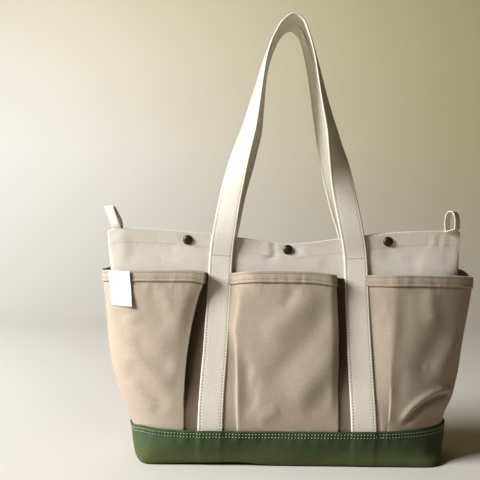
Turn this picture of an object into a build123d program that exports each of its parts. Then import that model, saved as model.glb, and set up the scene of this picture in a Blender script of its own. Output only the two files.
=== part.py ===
from build123d import *
import math
import os

# Open-topped canvas tote for knitting work: a cream body with a green bottom
# boot, taupe pockets all the way round, two webbing handles, three snap
# fasteners at the rim and a webbing loop at each top corner.
# Millimetres.  X runs along the bag's width, Y from front to back, Z up.
# The origin is the middle of the underside.

# ---- driving dimensions -------------------------------------------------
CLOTH = 1.2            # one layer of heavy canvas with its turned edge
WEB = 2.0              # folded webbing of the handles
STRAP_W = 30.0         # handle webbing width

BASE_L, BASE_D = 350.0, 120.0          # underside
BOOT_L, BOOT_D, BOOT_H = 391.0, 126.0, 40.0   # top edge of the green boot
HINGE_Y, HINGE_Z = 59.0, 40.0          # line that a wall swings about
PINCH_Y, PINCH_Z = 4.2, 250.0          # outer face where the walls close up
RIM_MID, RIM_END = 267.0, 285.0
WALL_X = 160.0         # half-length of the swinging part of a wall
POCKET_TOP = 231.0
POCKET_Y0, POCKET_Y1 = 61.5, 27.0      # pocket face at its foot and mouth
MID_POCKET = 67.0      # half-width of the middle pocket
SIDE_POCKET = 110.5    # inner edge of a side pocket's face
STRAP_X0, STRAP_X1 = 93.0, 86.5        # strap centre at the boot and at its cross stitch
CROSS_Z = 251.0        # cross stitch, above which the handle is free
HANDLE_TOP = 561.0     # outside of the handle's bight
SNAP_X = 130.0
SNAP_Z, SNAP_Z_MID = 271.5, 259.5
LOOP_X, LOOP_W = 222.0, 12.5

os.makedirs("parts", exist_ok=True)


def save(builder, name):
    builder.part.label = name
    export_step(builder.part, f"parts/{name}.step")


def shifted(points, t):
    """An open polyline moved t to its left, with mitred corners."""
    out = []
    n = len(points)
    for i, (x, y) in enumerate(points):
        normals = []
        for a, b in ((i - 1, i), (i, i + 1)):
            if a >= 0 and b < n:
                dx, dy = points[b][0] - points[a][0], points[b][1] - points[a][1]
                k = math.hypot(dx, dy)
                normals.append((-dy / k, dx / k))
        if len(normals) == 1:
            nx, ny = normals[0]
            out.append((x + nx * t, y + ny * t))
        else:
            (ax, ay), (bx, by) = normals
            s = 1.0 + ax * bx + ay * by
            out.append((x + (ax + bx) * t / s, y + (ay + by) * t / s))
    return out


def band(front_half, t):
    """Closed C-shaped ring of thickness t from the front half of an end's plan."""
    outer = list(front_half) + [(x, -y) for x, y in reversed(front_half)]
    return outer + list(reversed(shifted(outer, t)))


# ---- green boot and the body's bottom -----------------------------------
with BuildPart() as base_boot:
    with BuildSketch(Plane.XY):
        RectangleRounded(BASE_L, BASE_D, 20)
    with BuildSketch(Plane.XY.offset(BOOT_H)):
        RectangleRounded(BOOT_L, BOOT_D, 34)
    loft(ruled=True)
    with BuildSketch(Plane.XY.offset(CLOTH)):
        RectangleRounded(BASE_L - 2 * CLOTH, BASE_D - 2 * CLOTH, 18.8)
    with BuildSketch(Plane.XY.offset(BOOT_H + 0.001)):
        RectangleRounded(BOOT_L - 2 * CLOTH, BOOT_D - 2 * CLOTH, 32.8)
    loft(ruled=True, mode=Mode.SUBTRACT)
save(base_boot, "base_boot")

with BuildPart() as body_bottom:
    with BuildSketch(Plane.XY.offset(CLOTH + 0.05)):
        RectangleRounded(BASE_L - 8, BASE_D - 8, 16)
    extrude(amount=CLOTH)
save(body_bottom, "body_bottom")

# ---- swinging walls: cream panels ---------------------------------------
FOOT_Z = 41.5
lean = (HINGE_Y - PINCH_Y) / (PINCH_Z - HINGE_Z)
foot_y = HINGE_Y - (FOOT_Z - HINGE_Z) * lean

with BuildPart() as front_panel:
    # side profile: leans in from the boot, then stands upright at the rim
    with BuildSketch(Plane.YZ.offset(-WALL_X + 0.4)):
        with BuildLine():
            Polyline(
                (-foot_y, FOOT_Z), (-PINCH_Y, PINCH_Z), (-PINCH_Y, RIM_END),
                (-PINCH_Y + CLOTH, RIM_END), (-PINCH_Y + CLOTH, PINCH_Z),
                (-foot_y + CLOTH, FOOT_Z), close=True)
        make_face()
    extrude(amount=2 * (WALL_X - 0.4))
    # front outline: the rim sags between the handles
    with BuildSketch(Plane.XZ.offset(-40)):
        with BuildLine():
            Spline((-WALL_X, RIM_END), (-128, 282.6), (-85, 277.2), (-42, 271.4),
                   (0, RIM_MID), (42, 271.4), (85, 277.2), (128, 282.6), (WALL_X, RIM_END))
            Polyline((WALL_X, RIM_END), (WALL_X, RIM_END + 20),
                     (-WALL_X, RIM_END + 20), (-WALL_X, RIM_END))
        make_face()
    extrude(amount=120, mode=Mode.SUBTRACT)
save(front_panel, "body_front")

with BuildPart() as back_panel:
    add(front_panel.part.mirror(Plane.XZ))
save(back_panel, "body_back")

# ---- standing ends of the cream body ------------------------------------
END_PLANS = [
    (FOOT_Z, [(WALL_X, -foot_y), (176, -57.5), (188, -48), (190.5, -22)]),
    (150.0, [(WALL_X, -30.3), (188, -28.5), (212, -19), (222, -7)]),
    (PINCH_Z, [(WALL_X, -4.2), (195, -5.2), (222, -5.0), (230.5, -3.0)]),
    (RIM_END, [(WALL_X, -4.2), (195, -4.6), (226, -4.6), (233, -2.8)]),
]
with BuildPart() as end_right:
    for z, plan in END_PLANS:
        with BuildSketch(Plane.XY.offset(z)):
            with BuildLine():
                Polyline(*band(plan, CLOTH), close=True)
            make_face()
    loft(ruled=True)
save(end_right, "body_end_right")

with BuildPart() as end_left:
    add(end_right.part.mirror(Plane.YZ))
save(end_left, "body_end_left")

# ---- taupe pockets -------------------------------------------------------
PF_Z = 42.5                     # foot of the pockets' faces
p_lean = (POCKET_Y0 - POCKET_Y1) / (POCKET_TOP - PF_Z)
GAP = 0.4                       # between a pocket's return and the panel behind


def wall_y(z):
    return HINGE_Y - (z - HINGE_Z) * lean


def pocket_profile(y_back0, y_back1):
    """Side view of a pocket's return, a wedge that opens upwards."""
    return [(-POCKET_Y0, PF_Z), (-POCKET_Y1, POCKET_TOP), (-y_back1, POCKET_TOP), (-y_back0, PF_Z)]


with BuildPart() as pocket_mid:
    with BuildSketch(Plane.YZ.offset(-MID_POCKET)):
        with BuildLine():
            Polyline(*pocket_profile(wall_y(PF_Z) + GAP, wall_y(POCKET_TOP) + GAP), close=True)
        make_face()
    extrude(amount=2 * MID_POCKET)
    # hollow, open at the top and towards the panel behind
    with BuildSketch(Plane.YZ.offset(-MID_POCKET + CLOTH)):
        with BuildLine():
            Polyline((-POCKET_Y0 + CLOTH, PF_Z - 1), (-POCKET_Y1 + CLOTH + 0.2, POCKET_TOP + 1),
                     (0, POCKET_TOP + 1), (0, PF_Z - 1), close=True)
        make_face()
    extrude(amount=2 * (MID_POCKET - CLOTH), mode=Mode.SUBTRACT)
save(pocket_mid, "pocket_front_middle")

with BuildPart() as pocket_side:
    with BuildSketch(Plane.YZ.offset(SIDE_POCKET)):
        with BuildLine():
            Polyline(*pocket_profile(wall_y(PF_Z) + GAP, wall_y(POCKET_TOP) + GAP), close=True)
        make_face()
    extrude(amount=WALL_X - 0.4 - SIDE_POCKET)
    with BuildSketch(Plane.YZ.offset(SIDE_POCKET + CLOTH)):
        with BuildLine():
            Polyline((-POCKET_Y0 + CLOTH, PF_Z - 1), (-POCKET_Y1 + CLOTH + 0.2, POCKET_TOP + 1),
                     (0, POCKET_TOP + 1), (0, PF_Z - 1), close=True)
        make_face()
    extrude(amount=WALL_X, mode=Mode.SUBTRACT)
save(pocket_side, "pocket_front_right")

with BuildPart() as pocket_fl:
    add(pocket_side.part.mirror(Plane.YZ))
save(pocket_fl, "pocket_front_left")
with BuildPart() as pocket_br:
    add(pocket_side.part.mirror(Plane.XZ))
save(pocket_br, "pocket_back_right")
with BuildPart() as pocket_bl:
    add(pocket_fl.part.mirror(Plane.XZ))
save(pocket_bl, "pocket_back_left")
with BuildPart() as pocket_bm:
    add(pocket_mid.part.mirror(Plane.XZ))
save(pocket_bm, "pocket_back_middle")

# the pocket panel goes on round each end of the bag
y131 = POCKET_Y0 - (131.0 - PF_Z) * p_lean
POCKET_PLANS = [
    (PF_Z, [(WALL_X, -POCKET_Y0), (178, -60.5), (192.3, -50), (195.3, -22)]),
    (131.0, [(WALL_X, -y131), (194, -43), (219, -28), (228, -9)]),
    (POCKET_TOP, [(WALL_X, -POCKET_Y1), (202, -24.5), (231, -14), (242.5, -4)]),
]
with BuildPart() as pocket_er:
    for z, plan in POCKET_PLANS:
        with BuildSketch(Plane.XY.offset(z)):
            with BuildLine():
                Polyline(*band(plan, CLOTH), close=True)
            make_face()
    loft(ruled=True)
save(pocket_er, "pocket_end_right")
with BuildPart() as pocket_el:
    add(pocket_er.part.mirror(Plane.YZ))
save(pocket_el, "pocket_end_left")

# ---- bare white label, sewn to the left pocket under its hem -------------
LABEL_W, LABEL_H, LABEL_T = 28.0, 43.0, 0.4
a = Vector(-202, -24.5, POCKET_TOP)
b = Vector(-231, -14, POCKET_TOP)
c = Vector(-194, -43, 131.0)
across = (a - b).normalized()
up0 = (a - c).normalized()
normal = across.cross(up0).normalized()
up = normal.cross(across).normalized()
mid = a * 0.56 + b * 0.44 - up * (LABEL_H / 2 - 0.5)
label_plane = Plane(origin=mid + normal * 1.6, x_dir=across, z_dir=normal)
with BuildPart() as label:
    with BuildSketch(label_plane):
        RectangleRounded(LABEL_W, LABEL_H, 0.6)
    extrude(amount=LABEL_T)
save(label, "label")

# ---- straps sewn to the walls -------------------------------------------
wall_angle = math.degrees(math.atan(lean))


def strap_solid(side):
    s = side
    wall_plane = Plane(
        origin=(0, -HINGE_Y, HINGE_Z), x_dir=(1, 0, 0),
        z_dir=(0, -math.cos(math.radians(wall_angle)), math.sin(math.radians(wall_angle))))
    v0 = (PF_Z - HINGE_Z) / math.cos(math.radians(wall_angle))
    v1 = (PINCH_Z - 1.0 - HINGE_Z) / math.cos(math.radians(wall_angle))
    h = STRAP_W / 2
    return wall_plane.offset(0.35), [
        (s * STRAP_X0 - h, v0), (s * STRAP_X0 + h, v0),
        (s * STRAP_X1 + h, v1), (s * STRAP_X1 - h, v1)]


plane_r, pts_r = strap_solid(1)
with BuildPart() as strap_fr:
    with BuildSketch(plane_r):
        with BuildLine():
            Polyline(*pts_r, close=True)
        make_face()
    extrude(amount=WEB)
save(strap_fr, "strap_front_right")
with BuildPart() as strap_fl:
    add(strap_fr.part.mirror(Plane.YZ))
save(strap_fl, "strap_front_left")
with BuildPart() as strap_br:
    add(strap_fr.part.mirror(Plane.XZ))
save(strap_br, "strap_back_right")
with BuildPart() as strap_bl:
    add(strap_fl.part.mirror(Plane.XZ))
save(strap_bl, "strap_back_left")

# ---- handles: one ribbon each, turning a quarter from rim to bight --------
# x, z of the ribbon's middle; turn is 0 with its face to the front
# and 90 with its edge to the front
HANDLE_PATH = [
    (-86.0, CROSS_Z + 1.5, 0), (-84.5, 262, 0), (-82.0, 281, 3), (-77.5, 308, 12), (-71.0, 336, 22),
    (-61.0, 376, 36), (-50.0, 417, 50), (-41.5, 450, 62), (-34.0, 483, 73),
    (-25.5, 517, 84), (-17.0, 541, 90), (-8.0, 554, 90), (7.0, 560, 90),
    (21.0, 553.5, 90), (28.5, 540, 90), (34.5, 517, 84),
    (44.0, 483, 73), (51.0, 450, 62), (58.5, 417, 50), (67.0, 376, 36),
    (74.0, 336, 22), (79.5, 308, 12), (83.5, 281, 3), (85.5, 262, 0), (86.0, CROSS_Z + 1.5, 0)]
Y_FLAT = -(PINCH_Y + 0.5 + WEB / 2)


def handle_sections():
    out = []
    n = len(HANDLE_PATH)
    for i, (x, z, turn) in enumerate(HANDLE_PATH):
        a0 = HANDLE_PATH[max(i - 1, 0)]
        a1 = HANDLE_PATH[min(i + 1, n - 1)]
        tx, tz = a1[0] - a0[0], a1[1] - a0[1]
        k = math.hypot(tx, tz)
        tx, tz = tx / k, tz / k
        if i in (0, n - 1):
            tx, tz = 0.0, (1.0 if i == 0 else -1.0)
        # across the run and in the ribbon's plane before it turns
        px, pz = tz, -tx
        ph = math.radians(turn)
        # the edge nearer the other leg comes forward
        wx, wy, wz = px * math.cos(ph), -math.sin(ph), pz * math.cos(ph)
        y = Y_FLAT - (16.0 + Y_FLAT) * math.sin(ph)
        out.append(Plane(origin=(x, y, z), x_dir=(wx, wy, wz), z_dir=(tx, 0, tz)))
    return out


sections = handle_sections()
with BuildPart() as handle_front:
    for first, second in zip(sections, sections[1:]):
        with BuildSketch(first):
            Rectangle(STRAP_W, WEB)
        with BuildSketch(second):
            Rectangle(STRAP_W, WEB)
        loft(ruled=True)
save(handle_front, "handle_front")
with BuildPart() as handle_back:
    add(handle_front.part.mirror(Plane.XZ))
save(handle_back, "handle_back")

# ---- snap fasteners: three sets, closed ----------------------------------
SNAPS = [(-SNAP_X, SNAP_Z), (0, SNAP_Z_MID), (SNAP_X, SNAP_Z)]
inner = PINCH_Y - CLOTH          # inner face of a wall at the rim

with BuildPart() as snap_caps:
    # domed caps outside the front wall; the sketch plane faces the front
    with BuildSketch(Plane.XZ.offset(PINCH_Y + 0.05)):
        with Locations(*SNAPS):
            Circle(6.25)
    extrude(amount=1.9)
    fillet(snap_caps.faces().sort_by(Axis.Y)[:3].edges(), 1.6)
save(snap_caps, "snap_caps")

with BuildPart() as snap_sockets:
    with BuildSketch(Plane.XZ.offset(inner - 0.05)):
        with Locations(*SNAPS):
            Circle(5.5)
    extrude(amount=-2.2)
    with BuildSketch(Plane.XZ.offset(inner - 0.05 - 0.5)):
        with Locations(*SNAPS):
            Circle(3.0)
    extrude(amount=-3.0, mode=Mode.SUBTRACT)
save(snap_sockets, "snap_sockets")

with BuildPart() as snap_studs:
    with BuildSketch(Plane.XZ.offset(-(inner - 0.05))):
        with Locations(*SNAPS):
            Circle(5.0)
    extrude(amount=1.2)
    with BuildSketch(Plane.XZ.offset(-(inner - 0.05 - 1.2))):
        with Locations(*SNAPS):
            Circle(2.3)
    extrude(amount=3.3)
save(snap_studs, "snap_studs")

with BuildPart() as snap_backs:
    with BuildSketch(Plane.XZ.offset(-(PINCH_Y + 0.05))):
        with Locations(*SNAPS):
            Circle(5.0)
    extrude(amount=-1.3)
    fillet(snap_backs.faces().sort_by(Axis.Y)[-3:].edges(), 0.8)
save(snap_backs, "snap_backs")

# ---- webbing loops at the top corners ------------------------------------
LOOP_Z0 = RIM_END + 2.2
with BuildPart() as loop_right:
    with BuildSketch(Plane.YZ.offset(LOOP_X - LOOP_W / 2)):
        with BuildLine():
            Polyline((-1.6, LOOP_Z0), (-5.4, LOOP_Z0 + 9), (-6.2, LOOP_Z0 + 20), (-4.6, LOOP_Z0 + 26),
                     (0, LOOP_Z0 + 28.5), (4.6, LOOP_Z0 + 26), (6.2, LOOP_Z0 + 20), (5.4, LOOP_Z0 + 9),
                     (1.6, LOOP_Z0), close=True)
        make_face()
        with BuildLine():
            Polyline((0, LOOP_Z0 + 2.6), (-3.8, LOOP_Z0 + 9.6), (-4.6, LOOP_Z0 + 19.6), (-3.4, LOOP_Z0 + 24.8),
                     (0, LOOP_Z0 + 26.9), (3.4, LOOP_Z0 + 24.8), (4.6, LOOP_Z0 + 19.6), (3.8, LOOP_Z0 + 9.6), close=True)
        make_face(mode=Mode.SUBTRACT)
    extrude(amount=LOOP_W)
save(loop_right, "loop_right")
with BuildPart() as loop_left:
    add(loop_right.part.mirror(Plane.YZ))
save(loop_left, "loop_left")
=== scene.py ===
import math
import bpy
import numpy as np
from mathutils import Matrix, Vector


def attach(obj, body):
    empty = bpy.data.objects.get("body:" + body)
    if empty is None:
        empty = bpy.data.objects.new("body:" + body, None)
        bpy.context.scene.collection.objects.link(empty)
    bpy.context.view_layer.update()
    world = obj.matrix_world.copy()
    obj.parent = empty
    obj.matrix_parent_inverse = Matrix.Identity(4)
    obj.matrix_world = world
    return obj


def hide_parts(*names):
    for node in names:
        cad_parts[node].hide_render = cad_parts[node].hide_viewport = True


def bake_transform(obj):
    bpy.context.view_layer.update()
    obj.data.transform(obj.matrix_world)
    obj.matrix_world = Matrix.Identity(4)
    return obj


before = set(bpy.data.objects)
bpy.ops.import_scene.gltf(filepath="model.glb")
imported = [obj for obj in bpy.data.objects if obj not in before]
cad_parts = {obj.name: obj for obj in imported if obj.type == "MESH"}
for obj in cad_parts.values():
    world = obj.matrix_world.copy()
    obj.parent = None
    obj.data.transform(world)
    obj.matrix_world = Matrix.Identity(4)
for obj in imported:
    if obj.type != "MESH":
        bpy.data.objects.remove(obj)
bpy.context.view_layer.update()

MM = 0.001


# =========================================================================
# small maths
# =========================================================================
def hermite(z, zs, vs):
    """Smooth curve through (zs, vs), flat outside them."""
    z = np.asarray(z, float)
    zs = np.asarray(zs, float)
    vs = np.asarray(vs, float)
    m = np.gradient(vs, zs)
    i = np.clip(np.searchsorted(zs, z) - 1, 0, len(zs) - 2)
    h = zs[i + 1] - zs[i]
    t = np.clip((z - zs[i]) / h, 0, 1)
    return ((2 * t**3 - 3 * t**2 + 1) * vs[i] + (t**3 - 2 * t**2 + t) * h * m[i]
            + (-2 * t**3 + 3 * t**2) * vs[i + 1] + (t**3 - t**2) * h * m[i + 1])


def smooth(t, a=0.0, b=1.0):
    t = np.clip((np.asarray(t, float) - a) / (b - a), 0, 1)
    return t * t * (3 - 2 * t)


def _hash(ix, iy, seed):
    n = (ix * 374761393 + iy * 668265263 + seed * 69069) & 0x7FFFFFFF
    n = ((n ^ (n >> 13)) * 1274126177) & 0x7FFFFFFF
    return ((n ^ (n >> 16)) & 0xFFFF) / 65535.0 * 2 - 1


def vnoise(x, y, seed=0):
    x = np.asarray(x, float)
    y = np.asarray(y, float)
    ix, iy = np.floor(x).astype(np.int64), np.floor(y).astype(np.int64)
    fx, fy = x - ix, y - iy
    fx = fx * fx * fx * (fx * (fx * 6 - 15) + 10)
    fy = fy * fy * fy * (fy * (fy * 6 - 15) + 10)
    a, b = _hash(ix, iy, seed), _hash(ix + 1, iy, seed)
    c, d = _hash(ix, iy + 1, seed), _hash(ix + 1, iy + 1, seed)
    return (a * (1 - fx) + b * fx) * (1 - fy) + (c * (1 - fx) + d * fx) * fy


def along(x, z, pts):
    """Signed distance to a polyline and the share of its length reached, for arrays x, z."""
    pts = np.asarray(pts, float)
    seg = pts[1:] - pts[:-1]
    length = np.hypot(seg[:, 0], seg[:, 1])
    total = length.sum()
    best = np.full(np.shape(x), 1e9)
    sgn = np.zeros(np.shape(x))
    frac = np.zeros(np.shape(x))
    done = 0.0
    for (ax, az), (sx, sz), k in zip(pts[:-1], seg, length):
        t = np.clip(((x - ax) * sx + (z - az) * sz) / (k * k), 0, 1)
        dx, dz = x - (ax + t * sx), z - (az + t * sz)
        d = np.hypot(dx, dz)
        near = d < best
        best = np.where(near, d, best)
        sgn = np.where(near, np.sign(sx * dz - sz * dx), sgn)
        frac = np.where(near, (done + t * k) / total, frac)
        done += k
    return best * sgn, frac


def fold(x, z, pts, height, width, fade=0.25):
    """A soft ridge (or valley) along a line, dying away at its ends."""
    d, f = along(x, z, pts)
    return height * np.exp(-(d / width) ** 2) * smooth(f, 0, fade) * smooth(1 - f, 0, fade)


def buckle(x, z, pts, height, width):
    """A pinched fold: proud on the left of its line, hollow on the right."""
    d, f = along(x, z, pts)
    window = smooth(f, 0, 0.2) * smooth(1 - f, 0, 0.12)
    return height * window * (np.exp(-((d - width * 0.7) / width) ** 2)
                              - 1.15 * np.exp(-((d + width * 0.55) / (width * 0.8)) ** 2)
                              + 0.35 * np.exp(-((d + width * 3.0) / (width * 2.0)) ** 2))


# =========================================================================
# mesh building; all coordinates in millimetres until they become a mesh
# =========================================================================
class Mesh:
    """Vertices, faces, uvs and material numbers gathered for one object."""

    def __init__(self):
        self.v, self.f, self.uv, self.m, self.c, self.n = [], [], [], [], [], 0

    def add(self, verts, faces, uvs, mat=0, painted_shade=None):
        self.v.append(np.asarray(verts, float).reshape(-1, 3))
        self.c.append(np.zeros(len(self.v[-1])) if painted_shade is None else np.asarray(painted_shade, float).ravel())
        self.uv.append(np.asarray(uvs, float).reshape(-1, 2))
        for q in faces:
            self.f.append(tuple(int(i) + self.n for i in q))
            self.m.append(mat)
        self.n += len(self.v[-1])

    def build(self, name, mats, smooth_shade=True):
        co = np.concatenate(self.v) * MM
        uv = np.concatenate(self.uv) * MM
        me = bpy.data.meshes.new(name)
        me.from_pydata(co.tolist(), [], self.f)
        me.update()
        layer = me.uv_layers.new(name="UVMap")
        idx = np.zeros(len(me.loops), np.int32)
        me.loops.foreach_get("vertex_index", idx)
        layer.data.foreach_set("uv", uv[idx].astype(np.float32).ravel())
        # per-vertex painted shade weights: how far each point's colour is darkened towards its material's shade colour
        painted_shade = np.concatenate(self.c).astype(np.float32)
        if painted_shade.max() > 0:
            me.attributes.new("painted_shade", "FLOAT", "POINT").data.foreach_set("value", painted_shade)
        for mt in mats:
            me.materials.append(mt)
        me.polygons.foreach_set("material_index", np.array(self.m, np.int32))
        me.polygons.foreach_set("use_smooth", np.full(len(me.polygons), smooth_shade))
        me.update()
        ob = bpy.data.objects.new(name, me)
        bpy.context.scene.collection.objects.link(ob)
        return ob


def normals(P):
    du = np.gradient(P, axis=1)
    dv = np.gradient(P, axis=0)
    n = np.cross(du, dv)
    return n / np.maximum(np.linalg.norm(n, axis=2, keepdims=True), 1e-9)


def cloth(mesh, P, thick, uv, mat=0, flip=False, mat_in=None, front_bias=0.5, painted_shade=None):
    """A closed sheet over the grid P[row, column]: outer face, inner face and a
    rounded edge. thick may be a number or a grid."""
    nr, nc = P.shape[:2]
    N = normals(P)
    if flip:
        N = -N
    t = np.broadcast_to(np.asarray(thick, float), (nr, nc))[..., None]
    out = P + N * t * front_bias
    inn = P - N * t * (1 - front_bias)
    base = 0
    verts = [out.reshape(-1, 3), inn.reshape(-1, 3)]
    uvs = [uv.reshape(-1, 2), uv.reshape(-1, 2)]
    k = nr * nc
    r, c = np.meshgrid(np.arange(nr - 1), np.arange(nc - 1), indexing="ij")
    a = (r * nc + c).ravel()
    b, d, e = a + 1, a + nc + 1, a + nc
    q_out = np.stack([a, b, d, e], 1)
    q_in = np.stack([a, e, d, b], 1) + k
    # rounded edge all round: one more loop, half a thickness outside the grid
    ring = ([(0, j) for j in range(nc)] + [(i, nc - 1) for i in range(1, nr)]
            + [(nr - 1, j) for j in range(nc - 2, -1, -1)] + [(i, 0) for i in range(nr - 2, 0, -1)])
    ri = np.array([p[0] for p in ring])
    rj = np.array([p[1] for p in ring])
    ii = np.clip(ri, 1, nr - 2)
    jj = np.clip(rj, 1, nc - 2)
    mid = (out[ri, rj] + inn[ri, rj]) / 2
    inside = (out[ii, jj] + inn[ii, jj]) / 2
    away = mid - inside
    away /= np.maximum(np.linalg.norm(away, axis=1, keepdims=True), 1e-9)
    tt = np.linalg.norm(out[ri, rj] - inn[ri, rj], axis=1)[:, None]
    verts.append(mid + away * tt * 0.42)
    uvs.append(uv[ri, rj])
    m = len(ring)
    o = ri * nc + rj
    nx = np.roll(np.arange(m), -1)
    e1 = np.stack([o[nx], o, 2 * k + np.arange(m), 2 * k + nx], 1)
    e2 = np.stack([2 * k + nx, 2 * k + np.arange(m), o + k, o[nx] + k], 1)
    faces_out = np.concatenate([q_out, e1, e2])
    faces_in = q_in
    if flip:
        faces_out = faces_out[:, ::-1]
        faces_in = faces_in[:, ::-1]
    n0 = mesh.n
    # painted shade weights go to the outer face, the inner face and the edge alike
    cr = None if painted_shade is None else np.concatenate([painted_shade.ravel(), painted_shade.ravel(), painted_shade[ri, rj]])
    mesh.add(np.concatenate(verts), faces_out, np.concatenate(uvs), mat, cr)
    # the inner face shares the same vertices
    mm = mat if mat_in is None else mat_in
    for q in faces_in:
        mesh.f.append(tuple(int(i) + n0 for i in q))
        mesh.m.append(mm)
    return out, inn


_PROFILE = [(-0.5, 0.0), (-0.36, 0.62), (0.0, 0.98), (0.36, 0.62), (0.5, 0.0)]


def stitches(mesh, path, normal, pitch=2.9, length=2.1, width=0.62, height=0.34, mat=1, sink=0.06, start=0.0, slant=0.0):
    """A row of thread stitches lying on a surface along path, with its normals."""
    path = np.asarray(path, float)
    normal = np.asarray(normal, float)
    step = np.linalg.norm(path[1:] - path[:-1], axis=1)
    s = np.concatenate([[0], np.cumsum(step)])
    total = s[-1]
    count = int((total - start) // pitch)
    if count < 1:
        return
    mids = start + pitch * (np.arange(count) + 0.5)

    def at(q):
        q = np.clip(q, 0, total)
        return np.stack([np.interp(q, s, path[:, i]) for i in range(3)], 1)

    nn = np.stack([np.interp(mids, s, normal[:, i]) for i in range(3)], 1)
    nn /= np.maximum(np.linalg.norm(nn, axis=1, keepdims=True), 1e-9)
    tn = at(mids + 0.5) - at(mids - 0.5)
    tn /= np.maximum(np.linalg.norm(tn, axis=1, keepdims=True), 1e-9)
    side = np.cross(nn, tn)
    if slant:
        tn = tn * math.cos(slant) + side * math.sin(slant)
        side = np.cross(nn, tn)
    c = at(mids)
    verts = []
    L = [-0.5, -0.40, -0.2, 0.0, 0.2, 0.40, 0.5]
    R = [0.0, 0.62, 0.95, 1.0, 0.95, 0.62, 0.0]
    jit = 1 + 0.10 * _hash(np.arange(count), np.full(count, 7), 3)[:, None]
    for l, r in zip(L, R):
        mid = c + tn * (l * length) * jit + nn * (-sink - height * 0.55 + height * 0.75 * r)
        if r == 0.0:
            verts.append(mid[:, None, :])
        else:
            ringpts = []
            for k in range(6):
                a = 2 * math.pi * k / 6
                ringpts.append(mid + side * (math.cos(a) * width / 2 * r) + nn * (math.sin(a) * height * 0.62 * r))
            verts.append(np.stack(ringpts, 1))
    V = np.concatenate(verts, axis=1)            # count, 1+5*6+1, 3
    per = V.shape[1]
    f = []
    for k in range(6):
        f.append((0, 1 + (k + 1) % 6, 1 + k))
    for ring in range(4):
        for k in range(6):
            a0 = 1 + ring * 6 + k
            a1 = 1 + ring * 6 + (k + 1) % 6
            f.append((a0, a1, a1 + 6, a0 + 6))
    last = per - 1
    for k in range(6):
        f.append((last, last - 6 + k, last - 6 + (k + 1) % 6))
    faces = [tuple(i + j * per for i in q) for j in range(count) for q in f]
    pts = V.reshape(-1, 3)
    mesh.add(pts, faces, np.stack([pts[:, 0], pts[:, 2]], 1), mat)


# =========================================================================
# the bag's shape, in millimetres (heights along Z, front towards -Y)
# =========================================================================
HINGE_Y, HINGE_Z = 59.0, 40.0


def wall_depth(z):
    """Half-depth of the cream wall's middle: leaning in, then upright at the rim."""
    return hermite(z, [0, 40, 110, 180, 225, 245, 256, 300], [59.0, 57.8, 40.6, 22.4, 10.9, 5.8, 3.9, 3.7])


def tip_left(z):
    return -hermite(z, [0, 30, 42, 60, 85, 120, 165, 231, 285], [174, 186, 192, 199, 206, 214, 221.5, 229.0, 234.0])


def tip_right(z):
    return hermite(z, [0, 30, 42, 60, 85, 120, 165, 231, 285], [174, 186, 192, 198, 205, 213, 218, 224.2, 227.0])


def plan(W, D, p, n=160, q=0.5):
    """Half of a rounded plan outline, from its tip (W, 0) to its middle (0, D)."""
    t = np.linspace(0, 1, n)
    # crowded towards the tip, where it curves most
    x = W * (1 - t ** 2.2)
    y = D * (1 - (x / W) ** p) ** q
    return x, y


def resample(x, y, fr):
    s = np.concatenate([[0], np.cumsum(np.hypot(np.diff(x), np.diff(y)))])
    return np.interp(fr * s[-1], s, x), np.interp(fr * s[-1], s, y), s[-1]


def rim_front(x):
    """Height of the rim along x."""
    return hermite(x, [-240, -234, -222, -203, -164, -128, -98, -63, -21, 8, 34, 67, 102, 133, 170, 206, 222, 230, 240],
                   [281, 282.3, 285.0, 286.0, 284.4, 281.9, 279.0, 274.6, 269.2, 267.2, 269.8, 274.4, 278.2, 282.4, 285.0, 285.8, 285.2, 284.4, 283])


def rim_back(x):
    return rim_front(x) + 0.9 * np.exp(-((x - 118) / 40) ** 2) + 0.5 * np.exp(-((x + 60) / 50) ** 2)


# ------------------------------------------------------------- materials --
def lin(r, g, b):
    def f(c):
        c = c / 255.0
        return c / 12.92 if c <= 0.04045 else ((c + 0.055) / 1.055) ** 2.4
    return (f(r), f(g), f(b), 1.0)


class Nodes:
    def __init__(self, name):
        self.mat = bpy.data.materials.new(name)
        self.mat.use_nodes = True
        self.t = self.mat.node_tree
        self.b = next(n for n in self.t.nodes if n.type == "BSDF_PRINCIPLED")

    def add(self, kind, **props):
        n = self.t.nodes.new(kind)
        for k, v in props.items():
            setattr(n, k, v)
        return n

    def link(self, a, b):
        self.t.links.new(a, b)

    def math(self, op, a, b=None, c=None, clamp=False):
        n = self.add("ShaderNodeMath", operation=op, use_clamp=clamp)
        for i, v in enumerate((a, b, c)):
            if v is None:
                continue
            if isinstance(v, (int, float)):
                n.inputs[i].default_value = v
            else:
                self.link(v, n.inputs[i])
        return n.outputs[0]

    def mix(self, fac, a, b, blend="MIX"):
        n = self.add("ShaderNodeMix", data_type="RGBA", blend_type=blend)
        for sock, v in ((n.inputs[0], fac), (n.inputs[6], a), (n.inputs[7], b)):
            if isinstance(v, (int, float)):
                sock.default_value = v
            elif isinstance(v, tuple):
                sock.default_value = v
            else:
                self.link(v, sock)
        return n.outputs[2]

    def noise(self, vec, scale, detail=3.0, rough=0.55):
        n = self.add("ShaderNodeTexNoise")
        n.inputs["Scale"].default_value = scale
        n.inputs["Detail"].default_value = detail
        n.inputs["Roughness"].default_value = rough
        if vec is not None:
            self.link(vec, n.inputs["Vector"])
        return n.outputs[0]

    def ramp(self, fac, lo, hi, a=0.0, b=1.0):
        n = self.add("ShaderNodeMapRange")
        n.inputs["From Min"].default_value = lo
        n.inputs["From Max"].default_value = hi
        n.inputs["To Min"].default_value = a
        n.inputs["To Max"].default_value = b
        self.link(fac, n.inputs["Value"])
        return n.outputs[0]


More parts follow.
